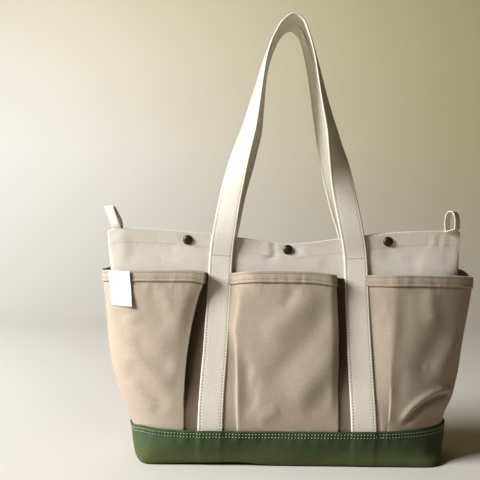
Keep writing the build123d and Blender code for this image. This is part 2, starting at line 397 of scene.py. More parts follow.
def canvas(name, base, dark, light, yarn=0.00062, twill=0.0, rough=0.9, sheen=0.12, mottle=0.5, weave_depth=0.00022, fleck=None, painted_shade=None, low=None):
    """Woven cotton: warp and weft in the cloth's own directions, uneven yarns,
    slubs, faint mottling, and a soft sheen."""
    k = Nodes(name)
    uv = k.add("ShaderNodeTexCoord")
    sep = k.add("ShaderNodeSeparateXYZ")
    k.link(uv.outputs["UV"], sep.inputs[0])
    obj = uv.outputs["Object"]
    U, V = sep.outputs[0], sep.outputs[1]
    # the yarns wander a little
    wob = k.noise(uv.outputs["UV"], 45.0, 2.0)
    wob = k.math("MULTIPLY", k.math("SUBTRACT", wob, 0.5), 0.0011)
    f = 2 * math.pi / (yarn * 2)
    su = k.math("SINE", k.math("MULTIPLY", k.math("ADD", U, wob), f))
    sv = k.math("SINE", k.math("MULTIPLY", k.math("ADD", V, wob), f))
    over = k.math("MULTIPLY", su, sv)                # which yarn is on top
    warp = k.math("ABSOLUTE", k.math("COSINE", k.math("MULTIPLY", k.math("ADD", U, wob), f)))
    weft = k.math("ABSOLUTE", k.math("COSINE", k.math("MULTIPLY", k.math("ADD", V, wob), f)))
    top = k.math("ADD", k.math("MULTIPLY", k.math("ADD", over, 1.0), 0.5), 0.0)
    height = k.math("ADD", k.math("MULTIPLY", top, k.math("SUBTRACT", 1.0, warp)),
                    k.math("MULTIPLY", k.math("SUBTRACT", 1.0, top), k.math("SUBTRACT", 1.0, weft)))
    # yarn by yarn unevenness: noise stretched along warp and along weft
    m1 = k.add("ShaderNodeMapping")
    m1.inputs["Scale"].default_value = (1600.0, 55.0, 1.0)
    k.link(uv.outputs["UV"], m1.inputs["Vector"])
    m2 = k.add("ShaderNodeMapping")
    m2.inputs["Scale"].default_value = (55.0, 1600.0, 1.0)
    k.link(uv.outputs["UV"], m2.inputs["Vector"])
    y1 = k.noise(m1.outputs[0], 1.0, 2.0)
    y2 = k.noise(m2.outputs[0], 1.0, 2.0)
    yarns = k.math("MULTIPLY", k.math("ADD", y1, y2), 0.5)
    grain = k.noise(uv.outputs["UV"], 620.0, 3.0, 0.7)
    blotch = k.noise(obj, 9.0, 4.0, 0.6)
    col = k.mix(k.ramp(yarns, 0.33, 0.67), dark, light)
    col = k.mix(0.55, base, col)
    col = k.mix(k.ramp(blotch, 0.35, 0.7, 0.0, mottle), col, dark)
    hcol = k.ramp(height, 0.0, 0.9, 0.84, 1.05)
    col = k.mix(k.ramp(grain, 0.3, 0.72, 0.0, 0.34), col, light)
    grain2 = k.noise(uv.outputs["UV"], 410.0, 2.0, 0.8)
    col = k.mix(k.ramp(grain2, 0.45, 0.74, 0.0, 0.5), col, dark)
    if fleck is not None:
        fl = k.ramp(k.noise(uv.outputs["UV"], 1500.0, 1.0), 0.66, 0.74, 0.0, 0.5)
        col = k.mix(fl, col, fleck)
    # painted light: below the given heights the colour mixes towards a lighter colour, standing in for light bounced up
    # from the floor
    if low is not None:
        so = k.add("ShaderNodeSeparateXYZ")
        k.link(obj, so.inputs[0])
        zz = k.math("ADD", so.outputs[2], k.math("MULTIPLY", k.math("SUBTRACT", blotch, 0.5), 0.02))
        col = k.mix(k.ramp(zz, low[1], low[2], low[3], 0.0), col, low[0])
    # painted shade: a per-vertex weight mixes the colour towards a dark shade colour, darkening pleat returns and
    # stitch grooves as if in shadow
    if painted_shade is not None:
        at = k.add("ShaderNodeAttribute", attribute_name="painted_shade")
        col = k.mix(k.math("MULTIPLY", at.outputs["Fac"], 1.0), col, painted_shade)
    mul = k.add("ShaderNodeVectorMath", operation="SCALE")
    k.link(col, mul.inputs[0])
    k.link(hcol, mul.inputs["Scale"])
    k.link(mul.outputs[0], k.b.inputs["Base Color"])
    k.link(k.ramp(grain, 0.3, 0.7, rough - 0.07, min(1.0, rough + 0.05)), k.b.inputs["Roughness"])
    bump1 = k.add("ShaderNodeBump")
    bump1.inputs["Strength"].default_value = 0.55
    bump1.inputs["Distance"].default_value = weave_depth
    k.link(height, bump1.inputs["Height"])
    bump2 = k.add("ShaderNodeBump")
    bump2.inputs["Strength"].default_value = 0.5
    bump2.inputs["Distance"].default_value = 0.0005
    k.link(k.math("ADD", grain, yarns), bump2.inputs["Height"])
    k.link(bump1.outputs[0], bump2.inputs["Normal"])
    bump3 = k.add("ShaderNodeBump")
    bump3.inputs["Strength"].default_value = 0.3
    bump3.inputs["Distance"].default_value = 0.0012
    k.link(k.noise(obj, 38.0, 3.0, 0.5), bump3.inputs["Height"])
    k.link(bump2.outputs[0], bump3.inputs["Normal"])
    k.link(bump3.outputs[0], k.b.inputs["Normal"])
    k.b.inputs["Sheen Weight"].default_value = sheen
    k.b.inputs["Sheen Roughness"].default_value = 0.5
    k.b.inputs["Specular IOR Level"].default_value = 0.18
    return k.mat


def thread(name, col, dark):
    k = Nodes(name)
    uv = k.add("ShaderNodeTexCoord")
    n = k.noise(uv.outputs["Object"], 900.0, 2.0)
    k.link(k.mix(k.ramp(n, 0.35, 0.65), dark, col), k.b.inputs["Base Color"])
    w = k.add("ShaderNodeTexWave", wave_type="BANDS", bands_direction="DIAGONAL")
    w.inputs["Scale"].default_value = 1500.0
    k.link(uv.outputs["Object"], w.inputs["Vector"])
    bp = k.add("ShaderNodeBump")
    bp.inputs["Strength"].default_value = 0.4
    bp.inputs["Distance"].default_value = 0.0002
    k.link(w.outputs[1], bp.inputs["Height"])
    k.link(bp.outputs[0], k.b.inputs["Normal"])
    k.link(k.ramp(n, 0.3, 0.7, 0.6, 0.8), k.b.inputs["Roughness"])
    return k.mat


def brass(name, base, worn, rough=0.42):
    """Antique brass: dark patina with lighter metal where it rubs."""
    k = Nodes(name)
    uv = k.add("ShaderNodeTexCoord")
    geo = k.add("ShaderNodeNewGeometry")
    n = k.noise(uv.outputs["Object"], 420.0, 4.0, 0.65)
    fine = k.noise(uv.outputs["Object"], 1900.0, 3.0, 0.6)
    edge = k.ramp(geo.outputs["Pointiness"], 0.505, 0.56, 0.0, 0.8)
    fac = k.math("MULTIPLY", k.ramp(n, 0.46, 0.66, 0.0, 0.75), 1.0, clamp=True)
    fac = k.math("MAXIMUM", fac, edge)
    k.link(k.mix(fac, base, worn), k.b.inputs["Base Color"])
    k.b.inputs["Metallic"].default_value = 0.85
    k.link(k.ramp(n, 0.35, 0.7, rough - 0.06, rough + 0.16), k.b.inputs["Roughness"])
    bp = k.add("ShaderNodeBump")
    bp.inputs["Strength"].default_value = 0.25
    bp.inputs["Distance"].default_value = 0.0003
    k.link(fine, bp.inputs["Height"])
    k.link(bp.outputs[0], k.b.inputs["Normal"])
    return k.mat


CREAM = canvas("cream_canvas", lin(226, 217, 197), lin(208, 196, 172), lin(240, 232, 215), mottle=0.2)
CREAM_IN = canvas("cream_canvas_inside", lin(222, 214, 199), lin(206, 196, 178), lin(234, 228, 216), mottle=0.25)
# taupe: the last colour is a dark brown shade painted into the pocket pleats
TAUPE = canvas("taupe_canvas", lin(187, 169, 147), lin(169, 150, 127), lin(202, 186, 165), mottle=0.22, fleck=lin(208, 199, 186), painted_shade=lin(84, 62, 34))
TAUPE_IN = canvas("taupe_canvas_inside", lin(172, 156, 137), lin(154, 138, 119), lin(188, 173, 155), mottle=0.3)
# green: the lower band is a lighter olive painted on as light bounced up from the floor, and the last colour is a dark
# green shade painted into the stitch grooves
GREEN = canvas("green_canvas", lin(75, 93, 60), lin(56, 74, 46), lin(95, 111, 73), mottle=0.4, sheen=0.08, fleck=lin(108, 122, 86),
               low=(lin(100, 102, 58), 0.004, 0.026, 0.8), painted_shade=lin(26, 36, 20))
WEB = canvas("cream_webbing", lin(231, 221, 200), lin(214, 201, 177), lin(243, 235, 218), yarn=0.00055, mottle=0.2)
WHITE = canvas("white_label", lin(244, 244, 244), lin(234, 234, 235), lin(250, 250, 250), yarn=0.00022, rough=0.72, sheen=0.08,
               mottle=0.12, weave_depth=0.00006)
TH_CREAM = thread("thread_cream", lin(176, 158, 128), lin(140, 122, 94))
TH_TAUPE = thread("thread_taupe", lin(120, 100, 78), lin(90, 72, 52))
TH_STRAP = thread("thread_strap", lin(120, 98, 70), lin(90, 72, 48))
TH_GREEN = thread("thread_on_green", lin(226, 220, 196), lin(186, 180, 154))
BRASS = brass("aged_brass", lin(66, 58, 42), lin(112, 100, 74))


# =========================================================================
# cream body: front and back halves, each in two pieces that meet under a strap
# =========================================================================
Z_IN = 34.0            # cloth goes on down inside the boot
JOIN_X = 91.0          # where two pieces of a wall meet, behind a strap


def tip_x(z, sx):
    return tip_right(z) if sx > 0 else -tip_left(z)


def plan_table(zs, tipf, depthf, pf, x_in, n_tip, n_flat, q=0.5):
    """For each height: n_tip points from the tip to x_in, evenly along the cloth,
    then n_flat points on to the middle line. Returns |x|, depth, arc length."""
    X = np.zeros((len(zs), n_tip + n_flat))
    Y = np.zeros_like(X)
    S = np.zeros_like(X)
    fr = np.linspace(0, 1, n_tip)
    fr = fr ** 1.25
    for i, z in enumerate(zs):
        W, D, p = float(tipf(z)), float(depthf(z)), float(pf(z))
        x, y = plan(W, D, p, 260, q)
        cut = x >= x_in
        xa, ya = x[cut], y[cut]
        xa = np.append(xa, x_in)
        ya = np.append(ya, D * (1 - (x_in / W) ** p) ** q)
        rx, ry, total = resample(xa, ya, fr)
        fx = np.linspace(x_in, 0, n_flat + 1)[1:]
        fy = D * (1 - (np.maximum(fx, 0) / W) ** p) ** q
        X[i] = np.concatenate([rx, fx])
        Y[i] = np.concatenate([ry, fy])
        S[i] = np.concatenate([fr * total, total + (x_in - fx)])
    return X, Y, S


def pick(zs, T, Z):
    """T[z, column] read at heights Z[row, column]."""
    out = np.zeros_like(Z)
    for c in range(Z.shape[1]):
        out[:, c] = np.interp(Z[:, c], zs, T[:, c])
    return out


ZS = np.linspace(0, 300, 151)


def cream_folds(x, z, sy):
    d = 0.8 * vnoise(x / 56.0, z / 44.0, 11 if sy < 0 else 12) + 0.12 * vnoise(x / 19.0, z / 19.0, 13 if sy < 0 else 14)
    d = d * smooth(z, 200, 240)
    rim = rim_front(x)
    if sy < 0:
        d += fold(x, z, [(-17.5, 272), (-16.5, 262), (-15.5, 250)], -0.9, 3.2, 0.12)
        d += fold(x, z, [(-24.5, 272), (-24, 262), (-22, 248)], 0.35, 4.5, 0.2)
        d += fold(x, z, [(-6.5, 268), (-8.5, 256), (-12, 243)], 0.4, 4.4, 0.3)
        d += fold(x, z, [(14, 262), (32, 250), (52, 240)], 0.9, 7.0)
        d += fold(x, z, [(-30, 246), (-14, 251), (-4, 257)], -0.8, 5.0)
        for px, a in ((184, -0.25), (192, 0.2), (199, -0.3), (207, 0.2)):
            d += fold(x, z, [(px, 284), (px + 1, 274), (px - 1, 262)], a, 3.2, 0.3)
        d += fold(x, z, [(216, 286), (213, 262), (209, 236)], -0.5, 9.0, 0.15)
        d += fold(x, z, [(-218, 284), (-212, 262), (-214, 240)], 0.9, 9.0, 0.2)
        d += fold(x, z, [(-150, 262), (-118, 252), (-100, 236)], 0.9, 10.0)
        d += fold(x, z, [(122, 262), (150, 246), (180, 240)], -1.0, 11.0)
    else:
        d += fold(x, z, [(30, 270), (34, 252), (40, 240)], -1.2, 6.0)
        d += fold(x, z, [(-150, 270), (-140, 250), (-120, 240)], 1.2, 9.0)
        d += fold(x, z, [(160, 280), (150, 255), (130, 240)], -1.2, 8.0)
    # the cloth is drawn in a little round each snap
    for cx, cz in ((-129.5, 271.5), (1.5, 259.6), (131.5, 271.5)):
        r2 = (x - cx) ** 2 + (z - cz) ** 2
        d += -0.7 * np.exp(-r2 / 90.0)
    return d * smooth(rim + 3 - z, -4, 3)


BODY_D = [0.0, 0.8, 2.4, 5.0, 8.0, 11.0, 14.0, 16.6, 17.8, 18.6, 19.4, 21.0, 24.0]


def tuck(ax, ay, z):
    """The wall draws in towards its ends, low down, behind the pockets."""
    return 4.2 * smooth(ax, 116, 158) * smooth(-z, -118, -66) * smooth(ay, 4, 24)


def body_piece(sx, sy, long_side):
    """One piece of a wall, from its tip to the join behind a strap. sx is the
    end it reaches, sy the side, long_side whether it holds the middle."""
    inner = -JOIN_X if long_side else JOIN_X
    n_tip, n_flat = 44, 30
    X, Y, S = plan_table(ZS, lambda z: tip_x(z, sx), wall_depth, lambda z: 7.0, 150.0, n_tip, 50)
    # keep only columns up to the join
    keep_tip = list(range(n_tip))
    flat_x = np.linspace(150, inner, (int((150 - inner) / 3.2)) + 1)[1:]
    nf = len(flat_x)
    rimf = rim_front if sy < 0 else rim_back

    rows_low = np.linspace(0, 1, 40)[:-1]
    # first pass for x of each column at the rim, to know each column's rim height
    def column_x(z):
        a = np.array([np.interp(z, ZS, X[:, c]) for c in keep_tip])
        return np.concatenate([a, flat_x])
    xr = sx * column_x(284.0)
    top = rimf(xr)
    Z = []
    for f in rows_low:
        Z.append(Z_IN + (top - 24.0 - Z_IN) * f)
    for d in BODY_D[::-1]:
        Z.append(top - d)
    Z = np.array(Z)
    nr, nc = Z.shape
    PX = np.zeros((nr, nc)); PY = np.zeros((nr, nc)); U = np.zeros((nr, nc))
    for c in range(nc):
        if c < n_tip:
            PX[:, c] = np.interp(Z[:, c], ZS, X[:, c])
            PY[:, c] = np.interp(Z[:, c], ZS, Y[:, c])
            U[:, c] = np.interp(Z[:, c], ZS, S[:, c])
        else:
            fx = flat_x[c - n_tip]
            W = tip_x(Z[:, c], sx)
            PX[:, c] = fx
            PY[:, c] = wall_depth(Z[:, c]) * (1 - (abs(fx) / W) ** 7.0) ** 0.5
            U[:, c] = np.interp(Z[:, c], ZS, S[:, n_tip - 1]) + (150 - fx)
    PY = PY - tuck(PX, PY, Z)
    P = np.stack([sx * PX, sy * PY, Z], 2)
    # columns run left to right on the front, right to left on the back
    if sx * sy > 0:
        pass
    flip_cols = (sx > 0) == (sy < 0)
    if flip_cols:
        P = P[:, ::-1]; U = U[:, ::-1]
    N = normals(P)
    disp = cream_folds(P[..., 0], P[..., 2], sy)
    P = P + N * disp[..., None]
    d_top = (top[::-1] if flip_cols else top)[None, :] - P[..., 2]
    hem = 1.0 - smooth(d_top, 18.4, 19.2)
    thick = 1.25 + 0.18 * hem
    mesh = Mesh()
    uv = np.stack([U * (-1 if flip_cols else 1), P[..., 2]], 2)
    out, inn = cloth(mesh, P, thick, uv, 0, mat_in=1)
    # hem stitching, 17.5 mm under the edge
    row = len(rows_low) + (len(BODY_D) - 1 - 8)
    Nn = normals(out)
    lo, hi = (1, nc - 2)
    stitches(mesh, out[row, lo:hi], Nn[row, lo:hi], pitch=3.7, length=2.0, width=0.6, height=0.3, mat=2)
    stitches(mesh, inn[row, lo:hi], -Nn[row, lo:hi], pitch=2.9, length=2.0, width=0.55, height=0.3, mat=2)
    name = f"body_{'front' if sy < 0 else 'back'}_{'right' if sx > 0 else 'left'}_cloth"
    ob = mesh.build(name, [CREAM, CREAM_IN, TH_CREAM])
    wall = "front_wall" if sy < 0 else "back_wall"
    ob["_blend"] = [sx * 0.232, sx * 0.150]
    return ob, wall, out


BODY = []
for sx, sy, long_side in ((-1, -1, False), (1, -1, True), (-1, 1, False), (1, 1, True)):
    ob, wall, grid = body_piece(sx, sy, long_side)
    side = "front" if sy < 0 else "back"
    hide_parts(f"body_{side}", "body_end_left" if sx < 0 else "body_end_right")
    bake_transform(ob)
    BODY.append(ob)


# =========================================================================
# taupe pockets
# =========================================================================
HEM = 13.2
HEM_D = [0.0, 0.45, 1.2, 2.0, 2.8, 3.7, 5.2, 7.0, 8.6, 9.6, 10.7, 12.1, 12.9, 13.2]
BELOW_D = [13.4, 13.9, 15.0, 17.2, 21.0]
STITCH_D = (2.8, 9.6)


def pocket_tip(z, sx):
    if sx < 0:
        return hermite(z, [30, 42, 50, 61, 72, 85, 99, 130, 160, 185, 205, 231, 245],
                       [196.0, 200.8, 204.6, 210.6, 215.2, 219.3, 223.2, 228.4, 231.6, 233.8, 235.9, 238.8, 240.0])
    return hermite(z, [30, 42, 52, 60, 66, 75, 88, 100, 137, 165, 190, 226, 245],
                   [198.0, 202.8, 204.6, 208.0, 211.6, 215.8, 219.4, 222.2, 227.8, 232.6, 237.2, 242.4, 244.0])


def pocket_depth(z):
    return hermite(z, [30, 42, 60, 77, 100, 135, 180, 231, 245],
                   [60.6, 60.9, 59.7, 57.4, 53.2, 46.6, 37.4, 27.6, 25.0])


def pocket_pq(z, sx):
    if sx < 0:
        return (float(hermite(z, [30, 42, 100, 160, 231], [7.0, 7.0, 5.8, 5.0, 5.2])),
                float(hermite(z, [30, 42, 100, 231], [0.64, 0.64, 0.60, 0.55])))
    return (float(hermite(z, [30, 42, 60, 100, 160, 231], [4.3, 4.2, 4.0, 3.4, 3.0, 3.2])),
            float(hermite(z, [30, 42, 100, 231], [0.52, 0.52, 0.52, 0.52])))


def pleat_path(fx, fy, U, E, S0, sigma, n_face, n_fold, n_ret, power=1.12):
    """Plan line of a pocket panel: the face (its last point is the fold), the
    place U where the pleat turns under it, the strap's edge E and the hidden end S0.
    Corners are rounded by sigma. Returns x, y and running length."""
    px = np.concatenate([fx, [U[0], E[0], S0[0]]])
    py = np.concatenate([fy, [U[1], E[1], S0[1]]])
    s = np.concatenate([[0], np.cumsum(np.hypot(np.diff(px), np.diff(py)))])
    sK, sU, sE = s[len(fx) - 1], s[len(fx)], s[-1]
    ds = 0.25
    n = int(s[-1] / ds) + 2
    t = np.linspace(0, s[-1], n)
    ds = t[1] - t[0]
    x, y = np.interp(t, s, px), np.interp(t, s, py)
    if sigma > 0.2:
        h = int(3 * sigma / ds) + 1
        k = np.exp(-0.5 * (np.arange(-h, h + 1) * ds / sigma) ** 2)
        k /= k.sum()
        def sm(a):
            pre = 2 * a[0] - a[h:0:-1]
            post = 2 * a[-1] - a[-2:-h - 2:-1]
            return np.convolve(np.concatenate([pre, a, post]), k, mode="valid")
        x2, y2 = sm(x), sm(y)
        # the tip end keeps its own shape
        w = smooth(t, sK - 40 - 4 * sigma, sK - 20 - 3 * sigma)
        x, y = x * (1 - w) + x2 * w, y * (1 - w) + y2 * w
    w = 1.0 + 1.25 * sigma
    a, b = sK - w, min(sU + w, sE - 2.0)
    cols = np.concatenate([np.linspace(0, 1, n_face) ** power * a,
                           a + (b - a) * np.linspace(0, 1, n_fold + 1)[1:],
                           b + (sE - b) * np.linspace(0, 1, n_ret + 1)[1:]])
    X, Y = np.interp(cols, t, x), np.interp(cols, t, y)
    S = np.concatenate([[0], np.cumsum(np.hypot(np.diff(X), np.diff(Y)))])
    return X, Y, S


def side_fold_x(z, left_type):
    """Where the pocket's fold lies beside the strap."""
    if left_type:
        return hermite(z, [30, 42, 72, 100, 134, 159, 178, 195, 205, 216, 231], [125.4, 125.4, 125.8, 125.5, 122.9, 119.8, 116.4, 112.6, 109.6, 105.4, 103.2])
    return hermite(z, [30, 42, 60, 74, 97, 138, 174, 211, 227], [118.8, 119.6, 121.6, 123.2, 124.8, 128.8, 131.8, 133.4, 132.2])


def strap_outer(z, left_type):
    return hermite(z, [30, 42, 135, 161, 200, 235], [108.7, 108.5, 106.2, 105.2, 103.4, 101.0]) if left_type else \
        hermite(z, [30, 42, 100, 161, 249], [106.6, 106.5, 106.4, 105.4, 103.6])


def side_top(x, sx, sy, left_type):
    ax = np.abs(x)
    if sy < 0:
        if left_type:
            return hermite(ax, [95, 104, 114, 150, 200, 232, 241], [229.4, 230.0, 231.8, 232.2, 231.6, 231.0, 230.4])
        return hermite(ax, [95, 104, 116, 132, 150, 190, 225, 243], [226.8, 227.4, 227.9, 228.2, 228.6, 228.2, 227.4, 225.8])
    end = 230.4 if sx < 0 else 225.8
    return hermite(ax, [95, 104, 132, 170, 205, 224, 234, 243], [231.0, 231.6, 232.6, 234.2, 236.0, 236.2, 234.0, end])


def side_folds(x, z, sx, sy, left_type):
    """Drape of a side pocket's face."""
    a = np.abs(x)
    body = smooth(z, 42, 60)
    d = 0.7 * vnoise(a / 62.0 + 3 * sx, z / 57.0, 21 + sx + 3 * sy) + 0.14 * vnoise(a / 23.0, z / 28.0, 31 + sx + 3 * sy)
    d = d * body
    # small puckers where the hem is sewn
    hemw = np.exp(-((z - 222) / 13.0) ** 2)
    pk = 0.42 * vnoise(a / 4.3, z / 16.0, 5 + sx) + 0.30 * vnoise(a / 7.5, z / 22.0, 7 + sx)
    d += hemw * pk * smooth(a, 106, 122) * smooth(-a, -222, -200)
    if left_type:
        d += fold(a, z, [(196, 152), (174, 133), (152, 119), (136, 110)], -1.7, 10.0)
        d += fold(a, z, [(205, 119), (182, 99), (162, 80), (144, 62)], -2.0, 11.0)
        d += fold(a, z, [(206, 136), (184, 117), (160, 101), (138, 88)], 1.6, 10.0)
        d += fold(a, z, [(208, 176), (186, 158), (162, 144), (140, 133)], 1.8, 14.0)
        d += fold(a, z, [(198, 98), (178, 78), (158, 60)], 1.3, 9.0)
        d += fold(a, z, [(216, 210), (202, 182), (192, 160)], 1.4, 12.0)
        d += fold(a, z, [(176, 214), (168, 196), (158, 176), (150, 160)], -0.9, 9.0)
        d += fold(a, z, [(160, 213), (152, 198), (144, 180)], 0.6, 6.0)
    else:
        d += fold(a, z, [(112, 206), (118, 190), (124, 170), (118, 150)], -0.6, 4.5)
        d += fold(a, z, [(122, 214), (126, 196), (121, 172)], 0.8, 4.0)
        d += fold(a, z, [(146, 216), (148, 190), (147, 165), (143, 140)], -0.6, 9.0)
        d += fold(a, z, [(131, 132), (129, 112), (127, 90)], -0.3, 4.0)
        d += fold(a, z, [(142, 122), (138, 96), (134, 70)], -0.6, 8.0)
        d += fold(a, z, [(216, 178), (192, 152), (172, 120), (160, 92)], -1.8, 14.0)
        d += fold(a, z, [(222, 152), (202, 126), (184, 102)], 1.6, 13.0)
        d += fold(a, z, [(182, 214), (180, 190), (186, 165)], 1.6, 10.0)
        # the deep buckle over the lower corner
        d += buckle(a, z, [(209, 78), (203, 82.5), (192, 83.5), (179, 80.5), (166, 75), (154, 67.5), (144, 58), (135, 48)][::-1], 3.4, 4.2)
        d += 0.6 * np.exp(-(((a - 186) / 26) ** 2 + ((z - 60) / 13) ** 2))
    if sy > 0:
        d += fold(a, z, [(200, 190), (180, 150), (165, 110)], 1.8, 14.0)
        d += fold(a, z, [(150, 200), (160, 160), (158, 120)], -1.6, 12.0)
    # quiet at the boot
    return d * smooth(z, 41, 52)


ZP = np.linspace(28, 250, 112)


def hem_relief(P, N, d_top, disp):
    """Adds drape, the doubled hem, its step and its drawn-in stitch rows."""
    disp = disp * (0.35 + 0.65 * smooth(d_top, -2, 16))
    hem = np.where(d_top <= HEM + 0.05, 1.0, 0.0)
    roll = np.exp(-((d_top - (HEM - 0.8)) / 0.9) ** 2) * hem
    groove = np.exp(-((d_top - (HEM + 0.8)) / 0.7) ** 2) * (1 - hem)
    disp = disp + hem * 1.0 + roll * 0.35 - groove * 0.4
    for dd in STITCH_D:
        disp = disp - 0.3 * np.exp(-((d_top - dd) / 0.75) ** 2)
    return P + N * disp[..., None], 1.2 + 0.9 * hem


def sewn_hem(mesh, out, inn, base, c0=1, c1=-1):
    Nn = normals(out)
    for dd in STITCH_D:
        row = base + (len(HEM_D) - 1 - HEM_D.index(dd))
        stitches(mesh, out[row, c0:c1], Nn[row, c0:c1], pitch=3.7, length=1.9, width=0.95, height=0.36, mat=2, sink=-0.03)
        stitches(mesh, inn[row, c0:c1], -Nn[row, c0:c1], pitch=2.9, length=1.9, width=0.6, height=0.3, mat=2)
    return Nn


def side_pocket(sx, sy):
    left_type = (sx < 0) == (sy < 0)
    n_face, n_fold, n_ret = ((78, 15, 12))
    nc = n_face + n_fold + n_ret
    X = np.zeros((len(ZP), nc)); Y = np.zeros_like(X); S = np.zeros_like(X)
    for i, z in enumerate(ZP):
        W, D = float(pocket_tip(z, sx)), float(pocket_depth(z))
        p, q = pocket_pq(z, sx)
        xf = float(side_fold_x(z, left_type))
        xs = float(strap_outer(z, left_type))
        x, y = plan(W, D, p, 320, q)
        cut = x > xf + 0.4
        fx = np.append(x[cut], xf)
        fy = np.append(y[cut], D * (1 - (xf / W) ** p) ** q)
        yw = float(wall_depth(z)) + 1.35
        if left_type:
            # the face rolls back as it nears its fold, and the pleat dives under it
            amp = float(hermite(z, [30, 45, 77, 110, 140, 200, 215, 231], [0.0, 0.2, 1.2, 2.4, 3.2, 4.2, 2.6, 1.2]))
            fy = fy - amp * smooth(1 - (fx - xf) / 24.0) ** 1.5
            gap = fy[-1] - yw
            o = 5.5 * float(smooth(z, 58, 100))
            U = (xf + o + 0.35, fy[-1] - max(1.3, 0.62 * gap))
            if gap < 2.6:
                U = (xf + 0.35, fy[-1] - 1.25)
            E = (xs + 0.3, yw)
            sigma = 0.75
        else:
            # the pleat stands open above and lies flat below
            sigma = float(hermite(z, [30, 60, 90, 140, 180, 231], [0.6, 0.7, 1.1, 2.4, 4.2, 5.5]))
            step = 1.5 * (1 - float(smooth(z, 60, 110)))
            fy = fy + 0.7 * np.exp(-((fx - xf) / 5.0) ** 2)
            U = (xf + 1.6 * step / 1.5 - 0.3, fy[-1] - step - 0.1)
            E = (xs + 1.0, yw + 0.1)
        S0 = (xs - 4.5, yw - 0.05)
        X[i], Y[i], S[i] = pleat_path(fx, fy, U, E, S0, sigma, n_face, n_fold, n_ret)
    # heights
    xr = np.array([np.interp(229.0, ZP, X[:, c]) for c in range(nc)])
    top = side_top(xr, sx, sy, left_type)
    if left_type:
        top[n_face + n_fold // 2:] = np.linspace(top[n_face + n_fold // 2], 227.5, nc - n_face - n_fold // 2)
    n_low = 62
    f = np.linspace(0, 1, n_low)[:-1]
    zb = 35.0
    Z = [zb + (top - BELOW_D[-1] - zb) * k for k in f]
    for d in BELOW_D[::-1] + HEM_D[::-1]:
        Z.append(top - d)
    Z = np.array(Z)
    nr = Z.shape[0]
    PX, PY, U_ = pick(ZP, X, Z), pick(ZP, Y, Z), pick(ZP, S, Z)
    P = np.stack([sx * PX, sy * PY, Z], 2)
    d_top = top[None, :] - Z
    face = np.concatenate([np.ones(n_face), np.linspace(1, 0.0, n_fold), np.full(n_ret, 0.0)])
    if not left_type:
        face[n_face:] = np.concatenate([np.linspace(1, 0.5, n_fold), np.linspace(0.5, 0.0, n_ret)])
    face = np.repeat(face[None, :], nr, 0)
    flip_cols = (sx > 0) == (sy < 0)
    if flip_cols:
        P, U_, d_top, face = P[:, ::-1], U_[:, ::-1], d_top[:, ::-1], face[:, ::-1]
    N = normals(P)
    disp = side_folds(P[..., 0], P[..., 2], sx, sy, left_type) * face
    wallx = np.where(sx > 0, tip_right(P[..., 2]), -tip_left(P[..., 2]))
    rel = np.clip(np.abs(P[..., 0]) / wallx, 0, 1)
    wy_ = wall_depth(P[..., 2]) * np.sqrt(1 - rel ** 7)
    room = np.abs(P[..., 1]) - wy_ + tuck(np.abs(P[..., 0]), wy_, P[..., 2])
    disp = np.where(face > 0.3, np.maximum(disp, np.minimum(2.4 - room, 1.5)), disp)
    P, thick = hem_relief(P, N, d_top, disp)
    mesh = Mesh()
    uv = np.stack([U_ * (-1 if flip_cols else 1), P[..., 2]], 2)
    # painted shade in the pleats: slight near the fold on the face, darkest where the fold turns under, lighter towards
    # the strap, and weaker low down
    if left_type:
        painted_shade_weight = np.concatenate([np.zeros(n_face - 4), np.linspace(0, 0.15, 4), np.linspace(0.2, 1.0, n_fold), np.linspace(1.0, 0.7, n_ret)])
        low = 0.72 + 0.28 * smooth(Z, 62, 100)
    else:
        painted_shade_weight = np.concatenate([np.zeros(n_face), np.linspace(0, 0.35, n_fold), np.linspace(0.35, 0.1, n_ret)])
        low = 0.4 + 0.6 * smooth(Z, 150, 210)
    if flip_cols:
        painted_shade_weight = painted_shade_weight[::-1]
    out, inn = cloth(mesh, P, thick, uv, 0, mat_in=1, painted_shade=painted_shade_weight[None, :] * low)
    base = nr - len(HEM_D)
    Nn = sewn_hem(mesh, out, inn, base)
    # seam up the end, where front and back halves of the panel meet
    col = nc - 3 if flip_cols else 2
    stitches(mesh, out[2:base, col], Nn[2:base, col], pitch=2.9, length=2.0, width=0.6, height=0.32, mat=2)
    name = f"pocket_{'front' if sy < 0 else 'back'}_{'right' if sx > 0 else 'left'}_cloth"
    ob = mesh.build(name, [TAUPE, TAUPE_IN, TH_TAUPE])
    return ob, dict(P=out, N=Nn)


POCKETS = {}
for sx, sy in ((-1, -1), (1, -1), (-1, 1), (1, 1)):
    ob, grid = side_pocket(sx, sy)
    POCKETS[(sx, sy)] = grid
    side = "front" if sy < 0 else "back"
    hand = "left" if sx < 0 else "right"
    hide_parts(f"pocket_{side}_{hand}", f"pocket_end_{hand}")
    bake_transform(ob)


